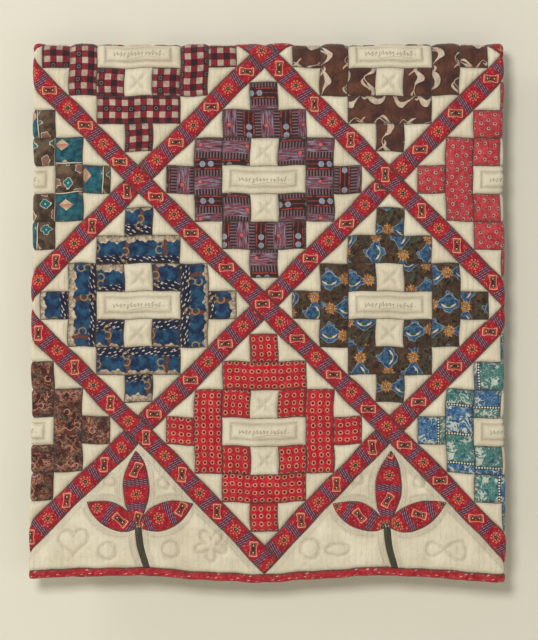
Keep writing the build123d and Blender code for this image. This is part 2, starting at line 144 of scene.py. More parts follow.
class Unit:
    """Pieces of cloth that are sewn into one unit, gathered before they are made into a mesh."""

    def __init__(self, name):
        self.name = name
        self.places, self.prints, self.seams = [], [], []
        self.faces, self.cloths = [], []
        self.size = 0

    def sew(self, cut, lift, seam, print_at, cloth, tuck=0.0011):
        """Adds a cut piece: its lift, distance from its seams, place on its print, and its cloth.

        All its free edges are turned down by tuck."""
        across, along, faces = cut
        used = np.unique([corner for face in faces for corner in face])
        renumber = np.zeros(across.size, int)
        renumber[used] = np.arange(len(used))
        faces = [tuple(renumber[list(face)] + self.size) for face in faces]
        flat = [np.broadcast_to(value, across.shape).ravel()[used] for value in (across, along, lift, seam)]
        place = np.stack(flat[:3], -1)
        seam = flat[3]
        spot = np.stack([np.broadcast_to(value, across.shape).ravel()[used] for value in print_at], -1)
        edges = {(face[k], face[(k + 1) % len(face)]) for face in faces for k in range(len(face))}
        free = sorted(edge for edge in edges if (edge[1], edge[0]) not in edges)
        rim = sorted({corner for edge in free for corner in edge})
        below = {corner: self.size + len(used) + number for number, corner in enumerate(rim)}
        faces += [(b, a, below[a], below[b]) for a, b in free]
        rim = np.array(rim, int) - self.size
        self.places.append(np.concatenate([place, place[rim] - (0, 0, tuck)]))
        self.prints.append(np.concatenate([spot, spot[rim]]))
        # Turned-down edges get seam distance 0, so they take the darkest seam line and painted shade of the
        # groove
        self.seams.append(np.concatenate([seam, seam[rim] * 0]))
        self.cloths += [cloth] * len(faces)
        self.faces += faces
        self.size += len(used) + len(rim)

    def finish(self, cloths, node_slot, *nodes):
        """Makes the mesh, lets it ride on the quilt, and puts it in the place of CAD nodes."""
        place = np.concatenate(self.places)
        mesh = bpy.data.meshes.new(self.name)
        mesh.from_pydata(hang(*place.T).tolist(), [], self.faces)
        for title, rows in (("print", self.prints), ("quilt", [place * (1000, 1000, 1000)])):
            layer = mesh.attributes.new(title, "FLOAT_VECTOR", "POINT")
            layer.data.foreach_set("vector", np.concatenate(rows).astype(np.float32).ravel())
        layer = mesh.attributes.new("seam", "FLOAT", "POINT")
        layer.data.foreach_set("value", np.concatenate(self.seams).astype(np.float32))
        for material in cloths:
            mesh.materials.append(material)
        mesh.polygons.foreach_set("material_index", self.cloths)
        mesh.polygons.foreach_set("use_smooth", [True] * len(self.faces))
        piece = bpy.data.objects.new(self.name, mesh)
        bpy.context.scene.collection.objects.link(piece)
        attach(piece, "quilt")
        if nodes:
            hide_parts(*nodes)
        return piece


def cut(across, along, keep=None):
    """A piece of cloth cut on a grid, with the half squares along any bias edge that keep() leaves."""
    across, along = np.meshgrid(across, along, indexing="ij")
    index = np.arange(across.size).reshape(across.shape)
    corners = [index[:-1, :-1], index[:-1, 1:], index[1:, 1:], index[1:, :-1]]
    corners = np.stack(corners, -1).reshape(-1, 4)
    inside = np.ones(across.size, bool) if keep is None else keep(across, along).ravel()
    count = inside[corners].sum(1)
    faces = [tuple(face) for face in corners[count == 4].tolist()]
    faces += [tuple(k for k in face if inside[k]) for face in corners[count == 3].tolist()]
    return across, along, faces


# ------------------------------------------------------------ muslin, and what all the cloths share
# The light patches are unbleached muslin, washed and yellowed.  Every cloth in the quilt has a plain
# weave, uneven dye, soil and painted shade along its seams, and fine puckers, which these node groups put in.


class Number:
    """A value that changes over a cloth, held as a node socket so that prints are drawn by sums."""

    def __init__(self, tree, socket):
        self.tree, self.socket = tree, socket

    def work(self, operation, *others):
        node = self.tree.nodes.new("ShaderNodeMath")
        node.operation = operation
        for entry, value in zip(node.inputs, (self, *others)):
            feed(self.tree, entry, value)
        return Number(self.tree, node.outputs[0])

    def __add__(self, other):
        return self.work("ADD", other)

    def __sub__(self, other):
        return self.work("SUBTRACT", other)

    def __mul__(self, other):
        return self.work("MULTIPLY", other)

    def __truediv__(self, other):
        return self.work("DIVIDE", other)

    def lower(self, other):
        return self.work("MINIMUM", other)

    def higher(self, other):
        return self.work("MAXIMUM", other)

    def size(self):
        return self.work("ABSOLUTE")

    def wave(self, length):
        return (self * (2 * math.pi / length)).work("SINE")

    def repeat(self, length):
        """The place within a repeat of that length, from minus half to plus half of it."""
        return self.work("WRAP", length / 2, -length / 2)

    def count(self, length):
        """Which repeat of that length this is."""
        return (self / length).work("ROUND")

    def rise(self, low, high):
        """Goes smoothly from 0 at low to 1 at high."""
        node = self.tree.nodes.new("ShaderNodeMapRange")
        node.interpolation_type = "SMOOTHSTEP"
        for entry, value in zip(node.inputs[:3], (self, low, high)):
            feed(self.tree, entry, value)
        return Number(self.tree, node.outputs[0])

    def within(self, edge, soft=0.25):
        """1 where this is under edge, 0 where it is over."""
        return self.work("MULTIPLY", -1.0).rise(-(edge + soft), -(edge - soft))


def feed(tree, entry, value):
    if isinstance(value, Number):
        tree.links.new(value.socket, entry)
    else:
        entry.default_value = value


def vector(tree, x, y, z=0.0):
    node = tree.nodes.new("ShaderNodeCombineXYZ")
    for entry, value in zip(node.inputs, (x, y, z)):
        feed(tree, entry, value)
    return Number(tree, node.outputs[0])


def parts_of(tree, place):
    node = tree.nodes.new("ShaderNodeSeparateXYZ")
    feed(tree, node.inputs[0], place)
    return [Number(tree, entry) for entry in node.outputs]


def noise(tree, place, scale, detail=2.0, warp=0.0):
    node = tree.nodes.new("ShaderNodeTexNoise")
    feed(tree, node.inputs["Vector"], place)
    node.inputs["Scale"].default_value = scale
    node.inputs["Detail"].default_value = detail
    node.inputs["Distortion"].default_value = warp
    return Number(tree, node.outputs["Fac"])


def paint(tree, under, over, mask):
    """One colour over another where mask is 1."""
    node = tree.nodes.new("ShaderNodeMix")
    node.data_type = "RGBA"
    feed(tree, node.inputs[0], mask)
    for entry, colour in ((node.inputs[6], under), (node.inputs[7], over)):
        feed(tree, entry, colour if isinstance(colour, Number) else (*colour, 1.0))
    return Number(tree, node.outputs[2])


def attribute(tree, title, output="Vector"):
    node = tree.nodes.new("ShaderNodeAttribute")
    node.attribute_name = title
    return Number(tree, node.outputs[output])


def open_group(name, entries, exits):
    """Starts a node group with these named inputs (kind and value) and outputs (kind)."""
    tree = bpy.data.node_groups.new(name, "ShaderNodeTree")
    for title, (kind, value) in entries.items():
        socket = tree.interface.new_socket(title, in_out="INPUT", socket_type="NodeSocket" + kind)
        if value is not None:
            socket.default_value = value
    for title, kind in exits.items():
        tree.interface.new_socket(title, in_out="OUTPUT", socket_type="NodeSocket" + kind)
    inlet = tree.nodes.new("NodeGroupInput")
    outlet = tree.nodes.new("NodeGroupOutput")
    return tree, [Number(tree, inlet.outputs[title]) for title in entries], outlet


def close_group(tree, outlet, *values):
    for entry, value in zip(outlet.inputs, values):
        feed(tree, entry, value)


def use(tree, group, **values):
    """Places a group and returns its outputs."""
    node = tree.nodes.new("ShaderNodeGroup")
    node.node_tree = bpy.data.node_groups[group]
    for title, value in values.items():
        feed(tree, node.inputs[title], value)
    found = [Number(tree, entry) for entry in node.outputs if entry.enabled]
    return found[0] if len(found) == 1 else found


# Plain weave: threads over and under each other, a little uneven
tree, (print_in, thread), outlet = open_group(
    "Plain weave",
    {"Print": ("Vector", None), "Thread": ("Float", 0.45)},
    {"Height": "Float", "Shade": "Float"},
)
x, y, _ = parts_of(tree, print_in)
warp = (x / thread * math.pi).work("SINE")
weft = (y / thread * math.pi).work("SINE")
slub = noise(tree, vector(tree, x * 0.15, y * 2.2), 1.0, 1.0)
slub = slub + noise(tree, vector(tree, x * 2.2, y * 0.15), 1.0, 1.0)
close_group(tree, outlet, warp * weft * 0.5 + slub, slub * 0.5)

# Worn dye: the colour pales and darkens in blotches, and pales where threads stand up
tree, (colour, place, amount), outlet = open_group(
    "Worn dye",
    {"Color": ("Color", (0.5, 0.5, 0.5, 1)), "Place": ("Vector", None), "Amount": ("Float", 0.5)},
    {"Color": "Color"},
)
blotch = noise(tree, place, 0.035, 3.0).rise(0.30, 0.72)
fleck = noise(tree, place, 0.42, 2.0).rise(0.35, 0.70)
node = tree.nodes.new("ShaderNodeHueSaturation")
feed(tree, node.inputs["Color"], colour)
feed(tree, node.inputs["Value"], (blotch * 0.62 + fleck * 0.38 - 0.5) * amount + 1.0)
feed(tree, node.inputs["Saturation"], (fleck * -0.35 + 0.18) * amount + 1.0)
close_group(tree, outlet, Number(tree, node.outputs[0]))

# Seam soil and shade: a thin dark line in the seam and a soft brown darkening beside it, partly soil and
# partly painted shade of the seam's furrow
tree, (colour, seam, place, amount), outlet = open_group(
    "Seam soil",
    {
        "Color": ("Color", (0.5, 0.5, 0.5, 1)),
        "Seam": ("Float", 10.0),
        "Place": ("Vector", None),
        "Amount": ("Float", 0.5),
    },
    {"Color": "Color"},
)
unevenness = noise(tree, place, 0.16, 2.0) * 1.2 + 0.4
# The dark line and the soft darkening beside it are partly soil and partly painted shade of the furrow
line = seam.within(0.55, 0.6) * 0.72
shade = seam.within(3.6, 3.6) * 0.40
close_group(tree, outlet, paint(tree, colour, (0.055, 0.034, 0.024), (line + shade) * unevenness * amount))

# Ribs: fine rows of hand quilting worked across a patch, seen as shallow furrows
tree, (place, spacing), outlet = open_group(
    "Quilting ribs",
    {"Place": ("Vector", None), "Spacing": ("Float", 8.9)},
    {"Height": "Float"},
)
x, y, _ = parts_of(tree, place)
across_row = (x + noise(tree, place, 0.05, 1.0) * 5.0).work("WRAP", spacing * 0.5, spacing * -0.5).size()
stitched = y.repeat(3.2).size().within(0.9, 0.3)
close_group(tree, outlet, across_row.rise(0.0, 2.2) - across_row.within(0.45, 0.3) * stitched * 0.5)


def new_material(name):
    material = bpy.data.materials.new(name)
    material.use_nodes = True
    tree = material.node_tree
    return material, tree, tree.nodes["Principled BSDF"]


def cotton(name, draw, wear=0.6, soil_and_shade=1.0, thread=0.45, ribs=0.5, sheen=0.12):
    """A cotton cloth whose colours draw(tree, print place, quilt place) puts on it."""
    material, tree, shader = new_material(name)
    print_at, quilt_at = attribute(tree, "print"), attribute(tree, "quilt")
    seam = attribute(tree, "seam", "Fac")
    colour = draw(tree, print_at, quilt_at)
    colour = use(tree, "Worn dye", Color=colour, Place=quilt_at, Amount=wear)
    # Soil and painted shade along the seams and quilted lines
    colour = use(tree, "Seam soil", Color=colour, Seam=seam, Place=quilt_at, Amount=soil_and_shade)
    height, slub = use(tree, "Plain weave", Print=print_at, Thread=thread)
    furrow = use(tree, "Quilting ribs", Place=quilt_at)
    crease = noise(tree, quilt_at, 0.22, 3.0, 0.6)
    bump = tree.nodes.new("ShaderNodeBump")
    bump.inputs["Strength"].default_value = 0.55
    bump.inputs["Distance"].default_value = 0.001
    feed(tree, bump.inputs["Height"], height * 0.10 + furrow * ribs + crease * 1.1)
    tree.links.new(bump.outputs[0], shader.inputs["Normal"])
    feed(tree, shader.inputs["Base Color"], colour)
    feed(tree, shader.inputs["Roughness"], slub * 0.14 + 0.80)
    shader.inputs["Sheen Weight"].default_value = sheen
    shader.inputs["Sheen Roughness"].default_value = 0.6
    shader.inputs["Specular IOR Level"].default_value = 0.25
    return material


def draw_muslin(tree, print_at, quilt_at):
    patch = noise(tree, quilt_at, 0.012, 2.0).rise(0.3, 0.7)
    colour = paint(tree, (0.632, 0.569, 0.436), (0.558, 0.490, 0.362), patch)
    stain = noise(tree, quilt_at, 0.045, 4.0).rise(0.55, 0.80)
    return paint(tree, colour, (0.50, 0.40, 0.26), stain * 0.35)


muslin = cotton("Muslin", draw_muslin, wear=0.16, soil_and_shade=0.50, ribs=0.55)

INK = (0.10, 0.065, 0.045)


def draw_label(tree, print_at, quilt_at):
    """Muslin with an ink scribble that spells nothing: slanting strokes in groups and an underline."""
    x, y, _ = parts_of(tree, print_at)
    slant = x + y * 0.55
    tall = noise(tree, vector(tree, slant * 0.17, 0.0), 1.0, 0.0).rise(0.42, 0.64) * 2.9 + 1.3
    steep = ((slant + 1.4).wave(5.6) * tall * 1.12).work("POWER", 2.0) + 1.0
    hand = (y - slant.wave(5.6) * tall).size() / steep.work("SQRT")
    inked = hand.within(0.50, 0.55) * x.size().within(40.0, 1.0)
    gap = (slant.repeat(29.0) - 9.0).size().rise(1.2, 2.0)
    swash = (y - 5.8 + x.wave(58.0) * 1.2).size().within(0.35, 0.4) * (x - 8.0).size().within(27.0, 2.0)
    return paint(tree, draw_muslin(tree, print_at, quilt_at), INK, (inked * gap).higher(swash * 0.6) * 0.80)


label_muslin = cotton("Label muslin", draw_label, wear=0.16, soil_and_shade=0.50, ribs=0.25)

# ------------------------------------------------------------ calico and chintz prints
# Each album block is pieced from scraps of one printed cotton.  The prints are drawn from a few
# motifs: rings, petalled flowers, scrolling lines and bars.

tree, (print_in, width, height, shift, jitter), outlet = open_group(
    "Motif place",
    {
        "Print": ("Vector", None),
        "Width": ("Float", 12.0),
        "Height": ("Float", 12.0),
        "Shift": ("Float", 0.0),
        "Jitter": ("Float", 0.0),
    },
    {"X": "Float", "Y": "Float", "Pick": "Float"},
)
x, y, _ = parts_of(tree, print_in)
row = (y / height).work("ROUND")
odd = (row * 0.5).work("FRACT")
x = x + odd * 2.0 * shift * width
column = (x / width).work("ROUND")
scatter = tree.nodes.new("ShaderNodeTexWhiteNoise")
scatter.noise_dimensions = "2D"
feed(tree, scatter.inputs["Vector"], vector(tree, column, row))
pick = Number(tree, scatter.outputs["Value"])
turn_x = (pick * 37.0).work("SINE") * jitter
turn_y = (pick * 61.0).work("SINE") * jitter
close_group(tree, outlet, x - column * width + turn_x, y - row * height + turn_y, pick)

tree, (x, y, radius, width), outlet = open_group(
    "Ring",
    {"X": ("Float", 0.0), "Y": ("Float", 0.0), "Radius": ("Float", 2.0), "Width": ("Float", 0.5)},
    {"Ring": "Float", "Disc": "Float"},
)
far = (x * x + y * y).work("SQRT")
ring = (far - radius).size() - width
close_group(tree, outlet, ring.work("MULTIPLY", -1.0).rise(-0.25, 0.25), (radius - far).rise(-0.25, 0.25))

tree, (x, y, radius, petals, depth), outlet = open_group(
    "Flower",
    {
        "X": ("Float", 0.0),
        "Y": ("Float", 0.0),
        "Radius": ("Float", 8.0),
        "Petals": ("Float", 6.0),
        "Depth": ("Float", 0.25),
    },
    {"Petals": "Float", "Edge": "Float"},
)
far = (x * x + y * y).work("SQRT")
angle = y.work("ARCTAN2", x)
outline = radius * ((angle * petals).work("COSINE") * depth + 1.0 - depth)
close_group(tree, outlet, (outline - far).rise(-0.3, 0.3), ((outline - far).size() * -1.0).rise(-0.75, -0.25))

tree, (print_in, scale, width, seed), outlet = open_group(
    "Scrolls",
    {"Print": ("Vector", None), "Size": ("Float", 20.0), "Width": ("Float", 0.03), "Seed": ("Float", 0.0)},
    {"Line": "Float", "Field": "Float"},
)
x, y, _ = parts_of(tree, print_in)
field = noise(tree, vector(tree, x / scale, y / scale, seed), 1.0, 1.2, 1.7)
thick = noise(tree, vector(tree, x / scale, y / scale, seed + 9.0), 1.3, 0.0) * width * 2.0
line = ((field - 0.5).size() - thick) * -1.0
close_group(tree, outlet, line.rise(-0.012, 0.012), field)


def ring_at(tree, x, y, radius, width):
    """A ring round x, y."""
    return use(tree, "Ring", X=x, Y=y, Radius=radius, Width=width)[0]


def disc_at(tree, x, y, radius):
    """A disc round x, y."""
    return use(tree, "Ring", X=x, Y=y, Radius=radius)[1]


def mottle(tree, place, first, second, scale=0.06):
    return paint(tree, first, second, noise(tree, place, scale, 3.0, 0.4).rise(0.35, 0.65))


def draw_red_rings(tree, print_at, quilt_at):
    x, y, pick = use(tree, "Motif place", Print=print_at, Width=11.8, Height=11.8, Jitter=0.5)
    ring, disc = use(tree, "Ring", X=x, Y=y * 0.85, Radius=pick * 0.7 + 2.3, Width=0.55)
    core = disc_at(tree, x, y, 1.3)
    colour = mottle(tree, quilt_at, (0.344, 0.010, 0.022), (0.426, 0.019, 0.030))
    bars = parts_of(tree, print_at)[0].repeat(5.9).size().within(0.35, 0.4)
    colour = paint(tree, colour, (0.213, 0.0069, 0.016), bars * 0.5)
    colour = paint(tree, colour, (0.164, 0.010, 0.014), disc * 0.8)
    colour = paint(tree, colour, (0.558, 0.292, 0.150), ring * 0.9)
    return paint(tree, colour, (0.016, 0.0086, 0.010), core)


def draw_pink_dots(tree, print_at, quilt_at):
    colour = mottle(tree, quilt_at, (0.370, 0.034, 0.043), (0.429, 0.057, 0.062))
    vine = use(tree, "Scrolls", Print=print_at, Size=17.0, Width=0.012)[0]
    colour = paint(tree, colour, (0.222, 0.0091, 0.017), vine * 0.8)
    x, y, _ = use(tree, "Motif place", Print=print_at, Width=15.5, Height=11.5, Shift=0.5, Jitter=1.6)
    ring, disc = use(tree, "Ring", X=x, Y=y * 0.85, Radius=3.2, Width=0.45)
    eye = disc_at(tree, x + 0.5, y - 0.3, 1.45)
    colour = paint(tree, colour, (0.459, 0.251, 0.211), disc * 0.85)
    colour = paint(tree, colour, (0.163, 0.015, 0.023), ring * 0.8)
    return paint(tree, colour, (0.022, 0.011, 0.016), eye)


def draw_teal_sprigs(tree, print_at, quilt_at):
    x, y, _ = parts_of(tree, print_at)
    band = y.repeat(92.0)
    green = band.rise(-2.0, 2.0)
    blue_ground = mottle(tree, quilt_at, (0.016, 0.068, 0.178), (0.036, 0.120, 0.244))
    colour = paint(tree, blue_ground, (0.044, 0.152, 0.133), green)
    leaf, _ = use(tree, "Scrolls", Print=print_at, Size=17.0, Width=0.060, Seed=3.0)
    clump = noise(tree, print_at, 0.045, 0.0).rise(0.44, 0.50)
    colour = paint(tree, colour, (0.48, 0.50, 0.42), leaf * clump * 0.85)
    fine, field = use(tree, "Scrolls", Print=print_at, Size=9.0, Width=0.050, Seed=8.0)
    colour = paint(tree, colour, (0.38, 0.45, 0.42), fine * field.rise(0.49, 0.53) * 0.6)
    dark = noise(tree, print_at, 0.13, 1.0).rise(0.56, 0.66)
    colour = paint(tree, colour, (0.012, 0.050, 0.105), dark * 0.8)
    edge = band.size().lower((band.size() - 46.0).size())
    colour = paint(tree, colour, (0.012, 0.016, 0.022), edge.within(2.2))
    bead = disc_at(tree, x.repeat(4.4), edge, 1.4)
    return paint(tree, colour, (0.576, 0.544, 0.407), bead)


def crescent(tree, x, y, radius, hollow, aside):
    """A sickle: a disc with a larger one, moved aside, cut out of it."""
    disc = disc_at(tree, x, y, radius)
    bite = disc_at(tree, x + aside, y, hollow)
    return disc * (bite * -1.0 + 1.0)


def draw_blue_chintz(tree, print_at, quilt_at):
    x, y, _ = parts_of(tree, print_at)
    band = (y + noise(tree, print_at, 0.03, 1.0) * 6.0 - 3.0).repeat(50.0)
    colour = mottle(tree, print_at, (0.005, 0.013, 0.048), (0.014, 0.067, 0.129), 0.075)
    post = (x + y.wave(23.0)).repeat(61.0).size().within(3.2, 0.6)
    dark = noise(tree, print_at, 0.10, 2.0).rise(0.56, 0.70)
    colour = paint(tree, colour, (0.005, 0.009, 0.031), dark * 0.7)
    colour = paint(tree, colour, (0.120, 0.038, 0.023), post * 0.9)
    night = (band * -1.0 + noise(tree, print_at, 0.11, 1.0) * 8.0).rise(10.0, 15.0)
    colour = paint(tree, colour, (0.005, 0.007, 0.027), night * 0.92)
    fleck_x, fleck_y, _ = use(
        tree, "Motif place", Print=print_at, Width=9.0, Height=5.2, Shift=0.5, Jitter=1.9
    )
    fleck = disc_at(tree, fleck_x * 0.42, fleck_y + fleck_x.wave(7.0) * 0.6, 0.95)
    colour = paint(tree, colour, (0.480, 0.414, 0.343), fleck * night)
    # Gilt scrolls, each of two half rings
    gilt_x, gilt_y, _ = use(
        tree, "Motif place", Print=print_at, Width=47.0, Height=50.0, Shift=0.5, Jitter=7.0
    )
    upper = ring_at(tree, gilt_x, gilt_y - 5.6, 5.6, 1.0) * gilt_x.rise(-4.2, -3.6)
    lower = ring_at(tree, gilt_x, gilt_y + 5.6, 5.6, 1.0) * (gilt_x * -1.0).rise(-4.2, -3.6)
    colour = paint(tree, colour, (0.272, 0.178, 0.066), upper.higher(lower) * 0.9)
    # Cream foam with brown curls along one edge
    foam = (band + x.wave(22.0) * 2.2 + x.wave(9.0) * 1.0).rise(14.2, 14.9)
    cream = mottle(tree, print_at, (0.288, 0.215, 0.129), (0.480, 0.400, 0.304), 0.13)
    colour = paint(tree, colour, cream, foam)
    curl_x, curl_y, _ = use(
        tree, "Motif place", Print=print_at, Width=12.5, Height=11.0, Shift=0.5, Jitter=2.2
    )
    curl = ring_at(tree, curl_x, curl_y, 3.2, 0.6) * (curl_x + curl_y).rise(-2.5, -1.5)
    return paint(tree, colour, (0.120, 0.063, 0.047), curl * foam * 0.85)


def draw_brown_floral(tree, print_at, quilt_at):
    colour = mottle(tree, print_at, (0.016, 0.007, 0.006), (0.070, 0.028, 0.015), 0.10)
    vine, field = use(tree, "Scrolls", Print=print_at, Size=17.0, Width=0.035, Seed=2.0)
    colour = paint(tree, colour, (0.020, 0.052, 0.032), vine * 0.9)
    colour = paint(tree, colour, (0.150, 0.062, 0.026), vine * field.rise(0.50, 0.52) * 0.7)
    # Blue palmettes with a pale smile and a green eye
    x, y, _ = use(tree, "Motif place", Print=print_at, Width=52.0, Height=44.0, Shift=0.5, Jitter=2.5)
    blue = mottle(tree, print_at, (0.012, 0.030, 0.095), (0.045, 0.120, 0.190), 0.18)
    crown, rim = use(tree, "Flower", X=x, Y=y + 13.5, Radius=6.8, Petals=3.0, Depth=0.24)
    slate = mottle(tree, print_at, (0.030, 0.055, 0.110), (0.130, 0.120, 0.180), 0.2)
    colour = paint(tree, colour, slate, crown)
    colour = paint(tree, colour, (0.190, 0.250, 0.290), rim * 0.8)
    frayed = noise(tree, print_at, 0.14, 1.0) * 7.0 + 11.0
    wings, rim = use(tree, "Flower", X=x * 0.74, Y=y, Radius=frayed, Petals=4.0, Depth=0.12)
    colour = paint(tree, colour, blue, wings)
    colour = paint(tree, colour, (0.185, 0.260, 0.300), rim * 0.9)
    smile = crescent(tree, y + 1.0, x * 0.72, 8.6, 10.2, 5.0)
    colour = paint(tree, colour, (0.56, 0.42, 0.32), smile)
    colour = paint(tree, colour, (0.018, 0.085, 0.032), disc_at(tree, x * 0.5, y - 4.4, 2.3))
    # Tan daisies between them
    px, py, _ = parts_of(tree, print_at)
    moved = vector(tree, px + 26.0, py)
    x, y, _ = use(tree, "Motif place", Print=moved, Width=52.0, Height=44.0, Shift=0.5, Jitter=3.0)
    frayed = noise(tree, print_at, 0.22, 1.0) * 4.4 + 7.6
    petals, rim = use(tree, "Flower", X=x, Y=y, Radius=frayed, Petals=11.0, Depth=0.14)
    tan = mottle(tree, print_at, (0.200, 0.080, 0.026), (0.480, 0.235, 0.078), 0.20)
    colour = paint(tree, colour, tan, petals)
    ring = ring_at(tree, x, y, 4.4, 0.6)
    colour = paint(tree, colour, (0.120, 0.045, 0.020), ring * 0.6)
    colour = paint(tree, colour, (0.040, 0.014, 0.014), disc_at(tree, x * 1.3, y, 2.4))
    return paint(tree, colour, (0.62, 0.53, 0.40), disc_at(tree, x * 1.9, y, 1.4))


def draw_large_chintz(tree, print_at, quilt_at):
    x = parts_of(tree, print_at)[0]
    panel = (x + noise(tree, print_at, 0.03, 0.0) * 6.0).repeat(96.0)
    blue = panel.rise(-0.4, 0.4)
    brown = blue * -1.0 + 1.0
    umber = mottle(tree, print_at, (0.034, 0.019, 0.012), (0.115, 0.075, 0.046), 0.07)
    teal = mottle(tree, print_at, (0.006, 0.039, 0.070), (0.018, 0.113, 0.130), 0.09)
    colour = paint(tree, umber, teal, blue)
    # Cream-edged flowers on the brown panels
    flower_x, flower_y, _ = use(
        tree, "Motif place", Print=print_at, Width=39.0, Height=44.0, Shift=0.5, Jitter=4.0
    )
    frayed = noise(tree, print_at, 0.16, 1.0) * 8.0 + 3.6
    shape, rim = use(
        tree, "Flower", X=flower_x, Y=flower_y * 0.85 + 9.0, Radius=frayed, Petals=5.0, Depth=0.10
    )
    colour = paint(tree, colour, (0.230, 0.105, 0.075), shape * brown)
    colour = paint(tree, colour, (0.500, 0.430, 0.320), rim * brown)
    pool, rim = use(tree, "Flower", X=flower_x * 0.8, Y=flower_y - 9.0, Radius=frayed, Petals=4.0, Depth=0.12)
    colour = paint(tree, colour, (0.010, 0.113, 0.125), pool * brown)
    colour = paint(tree, colour, (0.520, 0.460, 0.350), rim * brown)
    gleam = disc_at(tree, flower_x, flower_y - 9.5, 1.6)
    colour = paint(tree, colour, (0.252, 0.430, 0.420), gleam * brown)
    # Two-coloured diamonds on the blue panels
    gem_x, gem_y, _ = use(
        tree, "Motif place", Print=print_at, Width=33.0, Height=38.0, Shift=0.5, Jitter=3.0
    )
    gem = (gem_x.size() * 1.25 + gem_y.size()).within(11.5, 0.5) * blue
    colour = paint(tree, colour, (0.450, 0.350, 0.200), gem)
    facet = gem_x.rise(-1.4, -1.0) * (gem_x * -1.0).rise(-9.0, 0.5)
    colour = paint(tree, colour, (0.400, 0.160, 0.130), gem * facet)
    edge = panel.size().lower((panel.size() - 48.0).size())
    colour = paint(tree, colour, (0.017, 0.013, 0.012), edge.within(2.2, 0.6) * 0.8)
    return paint(tree, colour, (0.500, 0.450, 0.350), edge.within(0.8, 0.3))


def draw_purple_stripes(tree, print_at, quilt_at):
    x, y, _ = parts_of(tree, print_at)
    y = y + noise(tree, print_at, 0.07, 1.0) * 1.6
    band = y.repeat(59.0)
    streak = noise(tree, vector(tree, x * 0.05, y * 0.42), 1.0, 2.0).rise(0.42, 0.62)
    colour = paint(tree, (0.130, 0.034, 0.056), (0.205, 0.185, 0.225), streak)
    rose = noise(tree, vector(tree, x * 0.07, y * 0.33, 5.0), 1.0, 2.0).rise(0.50, 0.64)
    colour = paint(tree, colour, (0.250, 0.055, 0.075), rose * 0.8)
    dark = noise(tree, vector(tree, x * 0.05, y * 0.50, 9.0), 1.0, 1.0).rise(0.56, 0.64)
    colour = paint(tree, colour, (0.055, 0.014, 0.022), dark)
    # Two ladders, and between them a black band with red rails and discs in pairs
    ladders = (band + 10.0).size().within(19.5, 0.4)
    colour = paint(tree, colour, (0.150, 0.085, 0.100), ladders)
    rungs = x.repeat(4.9).size().within(1.3, 0.3) * ladders
    colour = paint(tree, colour, (0.022, 0.009, 0.010), rungs)
    middle = (band + 10.0).size().within(9.6, 0.4)
    colour = paint(tree, colour, (0.026, 0.011, 0.011), middle)
    pair_x = (x + 9.0).repeat(45.0)
    disc, core = use(tree, "Ring", X=pair_x.size() - 6.6, Y=band + 10.0, Radius=4.1, Width=0.45)
    spokes = (((band + 10.0).work("ARCTAN2", pair_x.size() - 6.6) * 6.0).work("COSINE")).rise(-0.2, 0.6)
    colour = paint(tree, colour, (0.14, 0.165, 0.22), core)
    colour = paint(tree, colour, (0.30, 0.33, 0.39), disc.higher(spokes * core) * 0.8)
    link = (band + 10.0).size().within(0.7, 0.4) * (core * -1.0 + 1.0)
    colour = paint(tree, colour, (0.24, 0.040, 0.034), link * 0.8)
    rails = ((band + 10.0).size() - 7.4).size().within(1.0, 0.4)
    broken = noise(tree, vector(tree, x * 0.10, y * 0.02), 1.0, 0.0).rise(0.35, 0.50)
    colour = paint(tree, colour, (0.290, 0.036, 0.030), rails * broken)
    blob, core = use(tree, "Ring", X=(x + 20.0).repeat(47.0), Y=band - 18.0, Radius=3.7, Width=0.5)
    colour = paint(tree, colour, (0.46, 0.105, 0.095), core)
    return paint(tree, colour, (0.085, 0.018, 0.020), blob)


def draw_plaid(tree, print_at, quilt_at):
    x, y, _ = parts_of(tree, print_at)
    bars_x = x.repeat(20.0).size().within(5.2, 0.5)
    bars_y = y.repeat(20.0).size().within(5.2, 0.5)
    both = bars_x * bars_y
    either = bars_x.higher(bars_y)
    colour = mottle(tree, quilt_at, (0.347, 0.266, 0.196), (0.384, 0.331, 0.252))
    colour = paint(tree, colour, (0.177, 0.014, 0.027), either)
    colour = paint(tree, colour, (0.260, 0.014, 0.021), bars_y * (both * -1.0 + 1.0) * 0.4)
    colour = paint(tree, colour, (0.014, 0.0094, 0.010), both * 0.95)
    hatch = (x + y).repeat(1.9).size().within(0.5, 0.3) * either * (both * -1.0 + 1.0)
    colour = paint(tree, colour, (0.074, 0.0072, 0.014), hatch * 0.45)
    ring = ring_at(tree, x.repeat(40.0), y.repeat(20.0), 2.6, 0.35)
    colour = paint(tree, colour, (0.223, 0.216, 0.189), ring * both * 0.8)
    nick = (x - y).repeat(20.0).size().within(0.5, 0.3) * (either * -1.0 + 1.0)
    return paint(tree, colour, (0.186, 0.115, 0.077), nick * noise(tree, print_at, 0.05, 0.0).rise(0.5, 0.6))


